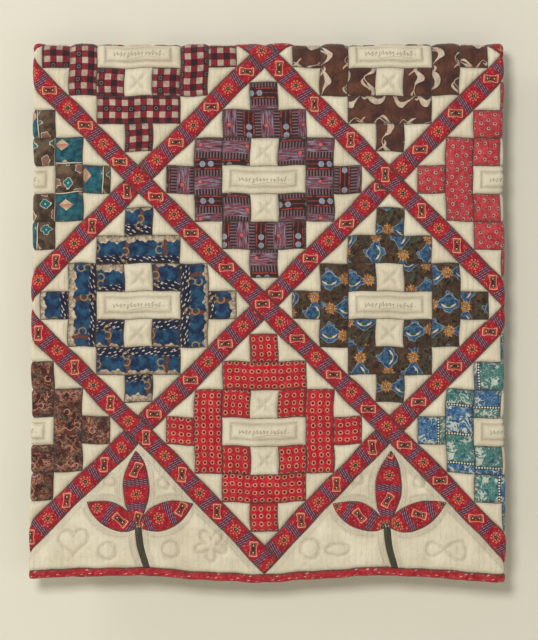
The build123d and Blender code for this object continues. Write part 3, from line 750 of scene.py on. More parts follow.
def draw_brown_swirls(tree, print_at, quilt_at):
    colour = mottle(tree, quilt_at, (0.101, 0.036, 0.021), (0.057, 0.021, 0.014), 0.045)
    dark = noise(tree, print_at, 0.035, 2.0).rise(0.50, 0.72)
    colour = paint(tree, colour, (0.030, 0.010, 0.013), dark * 0.8)
    grain = noise(tree, vector(tree, *[part * 0.5 for part in parts_of(tree, print_at)[:2]]), 1.0, 2.0, 2.0)
    colour = paint(tree, colour, (0.136, 0.053, 0.030), grain.rise(0.55, 0.70) * 0.45)
    x, y, _ = parts_of(tree, print_at)
    x = x + noise(tree, print_at, 0.022, 1.0) * 22.0
    y = y + noise(tree, vector(tree, x, y, 40.0), 0.025, 1.0) * 22.0
    column = (x / 40.0).work("ROUND")
    x, y = x - column * 40.0, y + column * 13.0
    # A ribbon that swings from side to side, thick at each bend and thin between, with a wisp beside it
    swell = (y + 4.0).wave(41.0).higher(0.0) * 3.4 + (y * -1.0 - 17.0).wave(41.0).higher(0.0) * 2.2 + 0.55
    steep = ((y + 10.2).wave(41.0) * 1.15).work("POWER", 2.0) + 1.0
    ribbon = ((x - y.wave(41.0) * 7.5).size() / steep.work("SQRT") - swell).within(0.0, 0.4)
    wisp_swell = (y + 12.0).wave(41.0).higher(0.0) * 2.0
    wisp = ((x + 6.0 - (y + 12.0).wave(27.0) * 5.0).size() - wisp_swell).within(0.0, 0.4)
    wisp = wisp * wisp_swell.rise(0.2, 0.5)
    shadow = ((x - 1.5 - y.wave(41.0) * 7.5).size() / steep.work("SQRT") - swell - 1.2).within(0.0, 1.2)
    colour = paint(tree, colour, (0.040, 0.017, 0.014), shadow * 0.6)
    cream = mottle(tree, print_at, (0.460, 0.320, 0.245), (0.480, 0.420, 0.320), 0.09)
    return paint(tree, colour, cream, ribbon.higher(wisp))


def draw_maroon_waves(tree, print_at, quilt_at):
    colour = mottle(tree, print_at, (0.025, 0.007, 0.007), (0.092, 0.026, 0.016), 0.10)
    strokes = (
        (11.0, 0.050, 4.0, (0.260, 0.104, 0.071), 0.50, 0.05),
        (8.0, 0.045, 6.0, (0.215, 0.110, 0.044), 0.53, 0.09),
        (9.0, 0.040, 12.0, (0.101, 0.084, 0.065), 0.52, 0.07),
        (14.0, 0.030, 15.0, (0.352, 0.169, 0.128), 0.48, 0.04),
    )
    for size, width, seed, stroke_colour, start, patch_size in strokes:
        stroke = use(tree, "Scrolls", Print=print_at, Size=size, Width=width, Seed=seed)[0]
        where = noise(tree, vector(tree, *parts_of(tree, print_at)[:2], seed * 20.0), patch_size, 1.0)
        colour = paint(tree, colour, stroke_colour, stroke * where.rise(start, start + 0.04) * 0.9)
    dark = noise(tree, print_at, 0.15, 2.0).rise(0.58, 0.66)
    colour = paint(tree, colour, (0.015, 0.006, 0.007), dark * 0.8)
    x, y, _ = use(tree, "Motif place", Print=print_at, Width=37.0, Height=33.0, Shift=0.5, Jitter=6.0)
    curl = ring_at(tree, x, y, 4.6, 0.75) * (x - y).rise(-4.5, -3.5)
    colour = paint(tree, colour, (0.414, 0.189, 0.143), curl)
    ripple = (parts_of(tree, print_at)[1].repeat(58.0) - parts_of(tree, print_at)[0].wave(17.0) * 2.4).size()
    return paint(tree, colour, (0.414, 0.173, 0.136), ripple.within(0.85, 0.4) * 0.85)


def draw_sash_print(tree, print_at, quilt_at):
    """Turkey red: spools and dotted flowers in turn, with hatched purple patches between them."""
    x, y, lean = parts_of(tree, print_at)
    colour = mottle(tree, quilt_at, (0.225, 0.004, 0.014), (0.350, 0.007, 0.020), 0.09)
    ragged = noise(tree, print_at, 0.25, 0.0) * 2.4 - 1.2
    patch = (x.repeat(40.0).size() - 20.0 + ragged).size().within(5.4, 0.6)
    colour = paint(tree, colour, (0.040, 0.012, 0.026), patch * 0.90)
    rows = (y + x * 0.10).repeat(6.4).size()
    colour = paint(tree, colour, (0.240, 0.008, 0.018), rows.rise(2.5, 3.0) * patch * 0.9)
    ticks = (x + y * 0.25).repeat(3.3).size().within(0.40, 0.40) * rows.within(2.3, 0.4)
    colour = paint(tree, colour, (0.34, 0.28, 0.36), ticks * patch * 0.85)
    # Dotted flower
    flower_x = (x - 40.0).repeat(80.0)
    far = (flower_x * flower_x + y * y).work("SQRT")
    angle = y.work("ARCTAN2", flower_x)
    glow = use(tree, "Flower", X=flower_x, Y=y, Radius=9.0, Petals=9.0, Depth=0.12)[0]
    dots = (angle * 9.0).work("COSINE").rise(-0.1, 0.4) * (far - 7.3).size().within(1.15, 0.4)
    petals = use(tree, "Flower", X=flower_x, Y=y, Radius=5.6, Petals=6.0, Depth=0.16)[0]
    colour = paint(tree, colour, (0.340, 0.013, 0.014), glow * 0.8)
    colour = paint(tree, colour, (0.560, 0.200, 0.085), dots * 0.85)
    colour = paint(tree, colour, (0.440, 0.060, 0.030), petals)
    heart = use(tree, "Ring", X=flower_x, Y=y, Radius=3.5, Width=0.5)
    colour = paint(tree, colour, (0.019, 0.026, 0.021), heart[1])
    notches = (angle * 5.0).work("COSINE").rise(0.2, 0.6)
    colour = paint(tree, colour, (0.480, 0.350, 0.190), heart[0] * notches)
    colour = paint(tree, colour, (0.100, 0.150, 0.115), disc_at(tree, flower_x * 1.8, y, 1.3))
    # Spool in its cartouche, turned half a right angle from the strip
    spool_x = x.repeat(80.0)
    skew = (lean * lean + 1.0).work("SQRT")
    long = (spool_x + y * lean) / skew
    short = (y - spool_x * lean) / skew
    waist = long * long * 0.020 + 5.4
    case = ((long / 12.2).work("POWER", 6.0) + (short / waist).work("POWER", 6.0)).work("POWER", 1 / 6)
    bone = long * long * 0.022 + 2.7
    bobbin = ((long / 8.6).work("POWER", 6.0) + (short / bone).work("POWER", 6.0)).work("POWER", 1 / 6)
    colour = paint(tree, colour, (0.620, 0.270, 0.160), case.within(0.98, 0.04))
    colour = paint(tree, colour, (0.270, 0.006, 0.015), case.within(0.84, 0.04))
    colour = paint(tree, colour, (0.420, 0.110, 0.060), bobbin.within(1.05, 0.05))
    colour = paint(tree, colour, (0.014, 0.015, 0.011), bobbin.within(0.96, 0.06))
    bars = (long.size() - 2.2).size().within(0.30, 0.25) * bobbin.within(0.95, 0.06)
    colour = paint(tree, colour, (0.200, 0.030, 0.020), bars)
    bead = disc_at(tree, long.size() - 5.4, short, 1.15)
    colour = paint(tree, colour, (0.520, 0.420, 0.250), bead)
    specks = noise(tree, print_at, 0.55, 0.0).rise(0.71, 0.75) * (patch * -1.0 + 1.0)
    return paint(tree, colour, (0.540, 0.260, 0.170), specks * 0.7)


sash_print = cotton("Turkey red print", draw_sash_print, wear=0.20, soil_and_shade=0.8, ribs=0.3)

# ------------------------------------------------------------ album blocks
# Ten-inch blocks set on point, each pieced by hand: a muslin label bar, two muslin squares, and bars
# and squares of one print, with muslin half squares filling the bias edges.
PRINTS = {
    "maroon": (draw_maroon_waves, "print_maroon_wave"),
    "red_rings": (draw_red_rings, "print_red_rings"),
    "teal": (draw_teal_sprigs, "print_teal_sprig"),
    "blue": (draw_blue_chintz, "print_blue_chintz"),
    "brown_floral": (draw_brown_floral, "print_brown_floral"),
    "large": (draw_large_chintz, "print_large_chintz"),
    "purple": (draw_purple_stripes, "print_purple_stripe"),
    "pink": (draw_pink_dots, "print_pink_dot"),
    "plaid": (draw_plaid, "print_plaid"),
    "swirl": (draw_brown_swirls, "print_brown_swirl"),
}
calicoes = {}
for name, (draw, slot_name) in PRINTS.items():
    calicoes[name] = cotton(slot_name.replace("_", " ").capitalize(), draw, wear=0.40, soil_and_shade=0.85)

BLOCKS = {
    "block_row1_left": (-2, 1, "maroon"),
    "block_row1_middle": (0, 1, "red_rings"),
    "block_row1_right": (2, 1, "teal"),
    "block_row2_left": (-1, 2, "blue"),
    "block_row2_right": (1, 2, "brown_floral"),
    "block_row3_left": (-2, 3, "large"),
    "block_row3_middle": (0, 3, "purple"),
    "block_row3_right": (2, 3, "pink"),
    "block_row4_left": (-1, 4, "plaid"),
    "block_row4_right": (1, 4, "swirl"),
    "block_row5_left": (-2, 5, "teal"),
    "block_row5_middle": (0, 5, "brown_floral"),
    "block_row5_right": (2, 5, "maroon"),
    "block_row6_left": (-1, 6, "red_rings"),
    "block_row6_right": (1, 6, "purple"),
    "block_row7_left": (-2, 7, "pink"),
    "block_row7_middle": (0, 7, "blue"),
    "block_row7_right": (2, 7, "large"),
}
FLAT_TO = FRONT_HALF - TURN_R
SEAM_DEPTH = 0.0026
SEAM_REACH = 0.0028
PUFF = 0.0017
PUFF_REACH = 0.0075
# Lumps as height, width and seed
LUMPS = (0.00055, 0.037, 3), (0.00050, 0.0155, 5), (0.00026, 0.0078, 8)


def pattern_place(column, row):
    """Across and along of a pattern point, in half pitches from the middle and up from row 0."""
    return MIDDLE_X + column * HALF_PITCH, FRONT_END - SASH_ACROSS - row * HALF_PITCH


def unevenness(across, along):
    """Lumps and puckers of hand-quilted cotton that has been washed."""
    return sum(height * rumple(across, along, width, seed) for height, width, seed in LUMPS)


def puffed(distance, puff=PUFF, depth=SEAM_DEPTH):
    """Lift of a patch at a distance from its seams: pulled down in the seam and full between."""
    return puff * (1 - np.exp(-distance / PUFF_REACH)) - depth * np.exp(-distance / SEAM_REACH)


def furrow(distance, depth=0.0009, width=0.0017):
    """A line of quilting stitches sunk into the cloth."""
    return -depth * np.exp(-((distance / width) ** 2))


def millimetres(across, along):
    """A place on the quilt in the units of the prints, for cloth without a print of its own."""
    return [across * 1000, along * 1000, across * 0]


def spread(start, end, count, gather=0.6):
    """Grid lines of a patch, closer together beside its seams."""
    even = np.linspace(0, 1, count + 1)
    return start + (end - start) * ((1 - gather) * even + gather * (0.5 - 0.5 * np.cos(math.pi * even)))


LABEL_INNER = (1.17, 0.27)
LABEL, SQUARE, PRINT = "label", "square", "print"
BLOCK_PIECES = [(LABEL, -1.5, 1.5, -0.5, 0.5), (SQUARE, -0.5, 0.5, 0.5, 1.5), (SQUARE, -0.5, 0.5, -1.5, -0.5)]
for side in (-1, 1):
    BLOCK_PIECES.append((PRINT, -1.5, 1.5, side * 2 - 0.5, side * 2 + 0.5))
    BLOCK_PIECES.append((PRINT, side * 2 - 0.5, side * 2 + 0.5, -1.5, 1.5))
    BLOCK_PIECES.append((PRINT, side * 3 - 0.5, side * 3 + 0.5, -0.5, 0.5))
    BLOCK_PIECES.append((PRINT, -0.5, 0.5, side * 3 - 0.5, side * 3 + 0.5))
    for other in (-1, 1):
        BLOCK_PIECES.append((PRINT, side - 0.5, side + 0.5, other - 0.5, other + 0.5))
HALVES = [(column, row) for column in range(-4, 5) for row in range(-4, 5) if abs(column) + abs(row) == 4]

piece_random = np.random.default_rng(1847)
for name, (column, row, print_name) in BLOCKS.items():
    centre_x, centre_along = pattern_place(column, row)
    unit = Unit("pieced_" + name)

    def grid_count(low, high, low_along, high_along):
        """Grid cells to a patch: more where it bends round a side fold or over the rail."""
        near, far = sorted(abs(centre_x + end * PATCH) for end in (low, high))
        if far > FLAT_TO - 0.03 and near < FLAT_TO + 0.03:
            return 24
        ends = (centre_along + low_along * PATCH, centre_along + high_along * PATCH)
        return 16 if min(abs(end) for end in ends) < 0.06 else 12

    for kind, low, high, low_along, high_along in BLOCK_PIECES:
        count = 26 if kind == SQUARE else grid_count(low, high, low_along, high_along)
        lines_across = spread(centre_x + low * PATCH, centre_x + high * PATCH, round(count * (high - low)))
        ends = (centre_along + low_along * PATCH, centre_along + high_along * PATCH)
        lines_along = spread(*ends, round(count * (high_along - low_along)))
        if kind == LABEL:
            for beside in (-0.0022, -0.0009, 0.0, 0.0009, 0.0022):
                both_sides = np.array([-1, 1])
                extra = (low + high) / 2 * PATCH + both_sides * (LABEL_INNER[0] * PATCH + beside)
                lines_across = np.union1d(lines_across, centre_x + extra)
                extra = (low_along + high_along) / 2 * PATCH + both_sides * (LABEL_INNER[1] * PATCH + beside)
                lines_along = np.union1d(lines_along, centre_along + extra)
        piece = cut(lines_across, lines_along)
        across, along, _ = piece
        from_edge_x = np.minimum(across - lines_across[0], lines_across[-1] - across)
        from_edge_y = np.minimum(along - lines_along[0], lines_along[-1] - along)
        distance = np.minimum(from_edge_x, from_edge_y)
        lift = puffed(distance) + unevenness(across, along)
        local_x = across - (lines_across[0] + lines_across[-1]) / 2
        local_y = along - (lines_along[0] + lines_along[-1]) / 2
        print_at = [local_x * 1000, local_y * 1000, local_x * 0]
        if kind == LABEL:
            past_x = np.abs(local_x) - LABEL_INNER[0] * PATCH
            past_y = np.abs(local_y) - LABEL_INNER[1] * PATCH
            inner = np.maximum(past_x, past_y)
            lift = lift + furrow(inner, 0.0026, 0.0019) + 0.0010 * np.clip(-inner / 0.006, 0, 1)
            # The quilted rectangle is given a seam distance, so the seam group paints a dark line and painted
            # shade along its furrow
            distance = np.minimum(distance, 0.0010 + np.abs(inner))
        elif kind == SQUARE:
            cross = np.minimum(np.abs(local_x - local_y), np.abs(local_x + local_y)) / math.sqrt(2)
            near_middle = np.clip(1.5 - np.hypot(local_x, local_y) / (0.42 * PATCH), 0, 1)
            lift = lift + furrow(cross, 0.0030, 0.0026) * near_middle + 0.0014 * near_middle
            # The quilted cross near the middle is given a seam distance, so the seam group paints a dark line
            # and painted shade along its furrow
            distance = np.minimum(distance, 0.0016 + cross + 0.01 * (1 - near_middle))
        else:
            square = high - low == high_along - low_along
            turned = high - low > high_along - low_along or (square and low in (-3.5, 2.5))
            shift = piece_random.uniform(-40, 40, 2)
            if print_name == "purple":
                shift[1] = piece_random.choice([-6.0, 14.0, 26.0])
            bent = [print_at[1], print_at[0]] if turned else [print_at[0], print_at[1]]
            if print_name == "blue":
                # Its foam runs along the outer edge of each piece
                middle_x, middle_y = low + high, low_along + high_along
                sideways = abs(middle_x) > abs(middle_y)
                outward = np.sign(middle_x if sideways else middle_y)
                run, rise = (1, 0) if sideways else (0, 1)
                bent = [print_at[run], outward * print_at[rise]]
                shift[1] = 0.10 * shift[1]
            elif print_name == "large":
                # Its teal and brown panels change along each long piece
                upright = high_along - low_along > high - low
                bent = [print_at[1], print_at[0]] if upright else print_at[:2]
                shift[0] = 6.0 if high - low > 1.5 else 34.0 if max(abs(low), abs(high)) > 3 else -24.0
            print_at = [bent[0] + shift[0], bent[1] + shift[1], print_at[2]]
            rows = local_x / (PATCH / 5)
            lift = lift + furrow(np.abs(rows - np.round(rows)) * PATCH / 5, 0.0006, 0.0013)
        cloth = {LABEL: 1, SQUARE: 0, PRINT: 2}[kind]
        unit.sew(piece, lift, distance * 1000, print_at, cloth)

    for half_column, half_row in HALVES:
        box = (half_column - 0.5, half_column + 0.5, half_row - 0.5, half_row + 0.5)
        count = grid_count(*box)
        lines_across = spread(centre_x + box[0] * PATCH, centre_x + box[1] * PATCH, count)
        lines_along = spread(centre_along + box[2] * PATCH, centre_along + box[3] * PATCH, count)

        def in_block(across, along):
            return np.abs(across - centre_x) + np.abs(along - centre_along) <= BLOCK_HALF + 1e-7

        piece = cut(lines_across, lines_along, in_block)
        across, along, _ = piece
        from_x, from_y = np.abs(across - centre_x), np.abs(along - centre_along)
        straight_x = from_x - (abs(half_column) - 0.5) * PATCH if half_column else across * 0 + 1
        straight_y = from_y - (abs(half_row) - 0.5) * PATCH if half_row else along * 0 + 1
        bias = (BLOCK_HALF - from_x - from_y) / math.sqrt(2)
        distance = np.clip(np.minimum(np.minimum(straight_x, straight_y), bias), 0, None)
        rows = (across - centre_x) / (PATCH / 5)
        lift = puffed(distance, PUFF * 1.1) + unevenness(across, along)
        lift = lift + furrow(np.abs(rows - np.round(rows)) * PATCH / 5, 0.0006, 0.0013)
        unit.sew(piece, lift, distance * 1000, millimetres(across, along), 0)
    cloths = [muslin, label_muslin, calicoes[print_name]]
    unit.finish(cloths, PRINTS[print_name][1], name)

# ------------------------------------------------------------ sashing
# Strips of Turkey red print, an inch and a quarter wide.  Those that fall to the right run through
# every crossing; those that fall to the left are pieced between them in block-long segments.
STRIP_CELLS = 10
STRIP_STEP = 0.0032


def sash_strip(unit, start, end, overrun, spool_at, lean):
    """One strip from crossing to crossing, longer by overrun at each end, with a spool at spool_at."""
    x0, a0 = pattern_place(*start)
    x1, a1 = pattern_place(*end)
    length = math.hypot(x1 - x0, a1 - a0)
    ux, ua = (x1 - x0) / length, (a1 - a0) / length
    total = length + 2 * overrun
    t = np.linspace(-overrun, length + overrun, max(2, round(total / STRIP_STEP)) + 1)
    w = spread(-SASH / 2, SASH / 2, STRIP_CELLS, 0.4)
    t_grid, w_grid, faces = cut(t, w)
    across, along = x0 + ux * t_grid - ua * w_grid, a0 + ua * t_grid + ux * w_grid
    from_side = SASH / 2 - np.abs(w_grid)
    from_end = np.minimum(t_grid + overrun, length + overrun - t_grid)
    distance = np.minimum(from_side, from_end)
    lift = puffed(distance, PUFF * 1.15) + unevenness(across, along)
    lift = lift + furrow(from_side - 0.0032, 0.0004, 0.0011)
    lift = lift + 0.00022 * np.sin(t_grid / 0.0041) * np.exp(-from_side / 0.004)
    spot = [(t_grid - spool_at) * 1000, w_grid * 1000, t_grid * 0 + lean]
    unit.sew((across, along, faces), lift, distance * 1000, spot, 0)


def crossings_along(diagonal, slope):
    """Crossings on one diagonal, top to bottom.  slope +1 falls to the right, -1 to the left."""
    spots = [(slope * (diagonal - row), row) for row in range(ROWS, -1, -1)]
    return [(column, row) for column, row in spots if abs(column) <= 3]


# Where the print's spools fall, in metres past a strip's first crossing, and which way they lean
LONG_SPOOLS = {0: 0.018 + 2 * 0.2832, 2: 0.039 + 2 * 0.2832, 4: -0.010 + 4 * 0.2832}
LONG_LEANS = {2: -1.0}
SHORT_SPOOLS = {
    (0, 4): 0.040,
    (-1, 3): 0.025,
    (2, 4): 0.055,
    (1, 3): 0.018,
    (0, 2): 0.007,
    (-1, 1): 0.078,
    (2, 2): 0.058,
    (1, 1): 0.040,
}
SHORT_LEANS = {(-1, 3): -1.0, (-1, 1): -1.0, (1, 1): -1.0}
strip_random = np.random.default_rng(31)
for number, diagonal in enumerate(range(-2, 12, 2)):
    seen = 1 <= number <= 5
    line = crossings_along(diagonal, 1)
    unit = Unit(f"sashing_long_{number}")
    spool_at = LONG_SPOOLS.get(diagonal, strip_random.uniform(0, 0.08))
    sash_strip(unit, line[0], line[-1], SASH / 2, spool_at, LONG_LEANS.get(diagonal, 1.0))
    unit.finish([sash_print], "sash_print", *[f"sash_long_{number}"] * seen)
    line = crossings_along(diagonal, -1)
    unit = Unit(f"sashing_short_{number}")
    for start, end in zip(line, line[1:]):
        spool_at = SHORT_SPOOLS.get(start, strip_random.uniform(0, 0.08))
        sash_strip(unit, start, end, -SASH / 2, spool_at, SHORT_LEANS.get(start, 1.0))
    unit.finish([sash_print], "sash_print", *[f"sash_short_{number}"] * seen)

# ------------------------------------------------------------ border and side triangles
# Half blocks of plain muslin close the pattern at the hems and sides.  Those at the hems are
# quilted by hand: double lines round the applique and beside the strips, and small figures.
LEAF_BASE_DOWN = 0.158
LEAF_ROUNDNESS = 0.92
STEM_CURVE = 1.6
LEAF_FULLNESS = (0.86, 1.08, 0.86)
LEAF_W = 0.042
LEAF_SPREAD = 0.003
STEM_W = 0.011
STEM_LENGTH = 0.0645
STEM_TOP = 0.1575
FLOWERS = {
    -1: {"lean": -0.001, "tips": ((-0.080, 0.116), (-0.005, 0.033), (0.088, 0.114)), "foot": 0.014},
    1: {"lean": -0.006, "tips": ((-0.091, 0.116), (0.001, 0.034), (0.090, 0.115)), "foot": 0.013},
}
# Quilted figures: kind, right and down from the crossing above, and size
FIGURES = {
    -1: (
        ("heart", -0.101, 0.178, 0.023),
        ("circle", -0.048, 0.195, 0.0135),
        ("circle", 0.052, 0.191, 0.0130),
        ("circle", -0.044, 0.081, 0.0095),
        ("circle", 0.041, 0.086, 0.0085),
        ("petals", 0.116, 0.180, 0.026),
    ),
    1: (
        ("circle", -0.127, 0.187, 0.0150),
        ("oval", -0.083, 0.190, 0.0150),
        ("eight", 0.089, 0.190, 0.031),
        ("circle", -0.051, 0.079, 0.0100),
        ("circle", 0.048, 0.083, 0.0090),
    ),
}
ECHOES = (0.0045, 0.0085)


def leaf_point(flower, number, share, offset):
    """A point of a leaf: share of the way from base to tip, and offset from -1 to 1 across it."""
    x0, d0 = flower["lean"] + (number - 1) * LEAF_SPREAD, LEAF_BASE_DOWN
    x1, d1 = flower["tips"][number]
    length = math.hypot(x1 - x0, d1 - d0)
    full = share ** LEAF_FULLNESS[number]
    half = LEAF_W / 2 * (4 * full * (1 - full)) ** LEAF_ROUNDNESS
    right = x0 + (x1 - x0) * share - (d1 - d0) / length * half * offset
    down = d0 + (d1 - d0) * share + (x1 - x0) / length * half * offset
    return right, down


def stem_point(flower, share, offset):
    """A point of the stem: share of the way down it, and offset from -1 to 1 across it."""
    middle = flower["lean"] + flower["foot"] * share ** STEM_CURVE
    return middle + offset * STEM_W / 2, STEM_TOP + STEM_LENGTH * share + 0 * offset


def figure_outline(kind, right, down, size):
    """Points along one quilted figure."""
    turn = np.linspace(0, 2 * math.pi, 160)
    if kind == "heart":
        x = size * np.sin(turn) ** 3
        y = 0.81 * np.cos(turn) - 0.31 * np.cos(2 * turn) - 0.13 * np.cos(3 * turn) - 0.06 * np.cos(4 * turn)
        y = -size * y
    elif kind == "oval":
        x, y = size * 1.25 * np.cos(turn), size * 0.62 * np.sin(turn)
    elif kind == "eight":
        x, y = size * np.sin(turn), size * 0.42 * np.sin(2 * turn) + 0.10 * size * np.cos(turn)
    elif kind == "petals":
        reach = size * (0.35 + 0.65 * np.abs(np.cos(2.5 * turn)))
        x, y = reach * np.cos(turn + 0.3), reach * np.sin(turn + 0.3)
    else:
        x, y = size * np.cos(turn), size * np.sin(turn)
    return np.stack([right + x, down + y], -1)


def distance_to(points, right, down):
    """How far each place lies from the nearest of some points."""
    nearest = np.full(right.shape, 1.0)
    for x, y in points:
        nearest = np.minimum(nearest, (right - x) ** 2 + (down - y) ** 2)
    return np.sqrt(nearest)


def applique_distance(flower, right, down):
    """How far each place lies outside the leaves and stem: zero or less under them."""
    nearest = np.full(right.shape, 1.0)
    for number in range(3):
        x0, d0 = flower["lean"] + (number - 1) * LEAF_SPREAD, LEAF_BASE_DOWN
        x1, d1 = flower["tips"][number]
        length = math.hypot(x1 - x0, d1 - d0)
        share = ((right - x0) * (x1 - x0) + (down - d0) * (d1 - d0)) / length**2
        sideways = np.abs((right - x0) * (d1 - d0) - (down - d0) * (x1 - x0)) / length
        full = np.clip(share, 0, 1) ** LEAF_FULLNESS[number]
        half = LEAF_W / 2 * (4 * full * (1 - full)) ** LEAF_ROUNDNESS
        past = np.maximum(np.abs(share - 0.5) - 0.5, 0) * length
        slope = 1 / math.sqrt(1 + (2 * LEAF_W / length) ** 2 * 0.35)
        outside = np.hypot(np.maximum(sideways - half, 0) * slope, past) - (sideways < half) * 0.001
        nearest = np.minimum(nearest, outside)
    share = np.clip((down - STEM_TOP) / STEM_LENGTH, 0, 1.3)
    middle = flower["lean"] + flower["foot"] * share ** STEM_CURVE
    beside = np.hypot(np.maximum(np.abs(right - middle) - STEM_W / 2, 0), np.maximum(STEM_TOP - down, 0))
    return np.minimum(nearest, beside)


def border_lift(flower, figures, right, down, across, along):
    """Lift and seam distance of a quilted border triangle, from places right and down of its crossing."""
    bias = (down - SASH_ACROSS - np.abs(right)) / math.sqrt(2)
    hem = SASH_ACROSS + HALF_PITCH - down
    distance = np.clip(np.minimum(bias, hem), 0, None)
    outside = applique_distance(flower, right, down)
    lift = puffed(distance, 0.0026) + 0.0021 * rumple(across, along, 0.024, 11) * ease(distance / 0.02)
    lift = lift + unevenness(across, along)
    for echo in ECHOES:
        lift = lift + furrow(outside - echo, 0.0016, 0.0015) + furrow(bias - echo, 0.0013, 0.0015)
    lift = np.where(outside < 0.0015, np.minimum(lift, -0.0008), lift - 0.0013 * np.exp(-outside / 0.0016))
    figured = np.full(right.shape, 1.0)
    for figure in figures:
        outline = figure_outline(*figure)
        near = distance_to(outline, right, down)
        figured = np.minimum(figured, near)
        lift = lift + furrow(near, 0.0032, 0.0026)
        inside = np.exp(-(((right - figure[1]) ** 2 + (down - figure[2]) ** 2) / (figure[3] * 0.75) ** 2))
        lift = lift + 0.0022 * inside
    stipple = np.abs(rumple(across, along, 0.0125, 21))
    open_ground = ease((outside - 0.012) / 0.01) * ease((bias - 0.012) / 0.01)
    # Seam distance that also runs along the quilted lines and figures, so the seam group paints a dark line
    # and painted shade in their furrows
    lined = np.minimum(np.abs(outside - ECHOES[0]), np.abs(outside - ECHOES[1]))
    lined = np.minimum(lined, figured + 0.0016)
    lined = np.minimum(lined, np.minimum(np.abs(bias - ECHOES[0]), np.abs(bias - ECHOES[1])))
    soil_and_shade_distance = np.minimum(distance, 0.0014 + lined)
    return lift - 0.0009 * np.exp(-stipple / 0.10) * open_ground, soil_and_shade_distance


BORDER_STEP = 0.00155
for face, row, crossing_row, sense in (("front", 0, 1, 1), ("back", ROWS, ROWS - 1, -1)):
    for column, side_name in ((-1, "left"), (1, "right")):
        crossing_x, crossing_along = pattern_place(column, crossing_row)
        apex_along = crossing_along + sense * SASH_ACROSS
        cells = round(HALF_PITCH / BORDER_STEP)
        lines_across = crossing_x + HALF_PITCH * np.linspace(-1, 1, 2 * cells + 1)
        lines_along = np.sort(apex_along + sense * HALF_PITCH * np.linspace(0, 1, cells + 1))

        def in_triangle(across, along):
            return np.abs(across - crossing_x) <= sense * (along - apex_along) + 1e-7

        piece = cut(lines_across, lines_along, in_triangle)
        across, along, _ = piece
        right, down = across - crossing_x, sense * (along - crossing_along)
        lift, distance = border_lift(FLOWERS[column], FIGURES[column], right, down, across, along)
        unit = Unit(f"quilted_border_{face}_{side_name}")
        unit.sew(piece, lift, distance * 1000, millimetres(across, along), 0)
        unit.finish([muslin], "muslin", f"border_{face}_{side_name}")

# The side and corner triangles lie in the turned-in widths, where only the rail faces them
SIDE_CELLS = 34
for side, side_name in ((-1, "left"), (1, "right")):
    unit = Unit(f"side_triangles_{side_name}")
    outer_x = MIDDLE_X + side * SEAM_HALF
    for row in (2, 4, 6):
        middle_along = pattern_place(0, row)[1]
        lines_across = np.sort(outer_x - side * HALF_PITCH * np.linspace(0, 1, SIDE_CELLS + 1))
        lines_along = middle_along + HALF_PITCH * np.linspace(-1, 1, 2 * SIDE_CELLS + 1)

        def in_side(across, along):
            return np.abs(along - middle_along) <= HALF_PITCH - side * (outer_x - across) + 1e-7

        piece = cut(lines_across, lines_along, in_side)
        across, along, _ = piece
        bias = (HALF_PITCH - side * (outer_x - across) - np.abs(along - middle_along)) / math.sqrt(2)
        distance = np.clip(np.minimum(bias, side * (outer_x - across)), 0, None)
        unit.sew(piece, puffed(distance), distance * 1000, millimetres(across, along), 0)
    leg = HALF_PITCH + SASH_ACROSS
    for end_along, sense in ((FRONT_END, 1), (BACK_END, -1)):
        lines_across = np.sort(outer_x - side * leg * np.linspace(0, 1, SIDE_CELLS + 1))
        lines_along = np.sort(end_along - sense * leg * np.linspace(0, 1, SIDE_CELLS + 1))

        def in_corner(across, along):
            return side * (outer_x - across) + sense * (end_along - along) <= leg + 1e-7

        piece = cut(lines_across, lines_along, in_corner)
        across, along, _ = piece
        far_x, far_along = side * (outer_x - across), sense * (end_along - along)
        bias = (leg - far_x - far_along) / math.sqrt(2)
        distance = np.clip(np.minimum(np.minimum(far_x, far_along), bias), 0, None)
        unit.sew(piece, puffed(distance), distance * 1000, millimetres(across, along), 0)
    unit.finish([muslin], "muslin", f"turned_patchwork_{side_name}")

# ------------------------------------------------------------ appliqued tulips
# Three leaves of the Turkey red print and a dark stem, their edges turned under and hemmed down to
# the muslin, so that they stand a little proud of it.
SPOOLS_ON_LEAVES = {-1: (0.028, 0.094, 0.075), 1: (0.044, 0.044, 0.055)}
LEAF_LEANS = {-1: (0.25, 0.45, -0.8), 1: (0.55, 0.5, 0.9)}


def draw_stem(tree, print_at, quilt_at):
    x, y, _ = parts_of(tree, print_at)
    streak = noise(tree, vector(tree, x * 0.9, y * 0.10), 1.0, 2.0).rise(0.38, 0.66)
    colour = paint(tree, (0.018, 0.018, 0.012), (0.085, 0.078, 0.050), streak)
    return paint(tree, colour, (0.030, 0.038, 0.022), noise(tree, print_at, 0.08, 1.0).rise(0.4, 0.6) * 0.5)


stem_cloth = cotton("Dark stem cotton", draw_stem, wear=0.4, soil_and_shade=0.8, ribs=0.1)

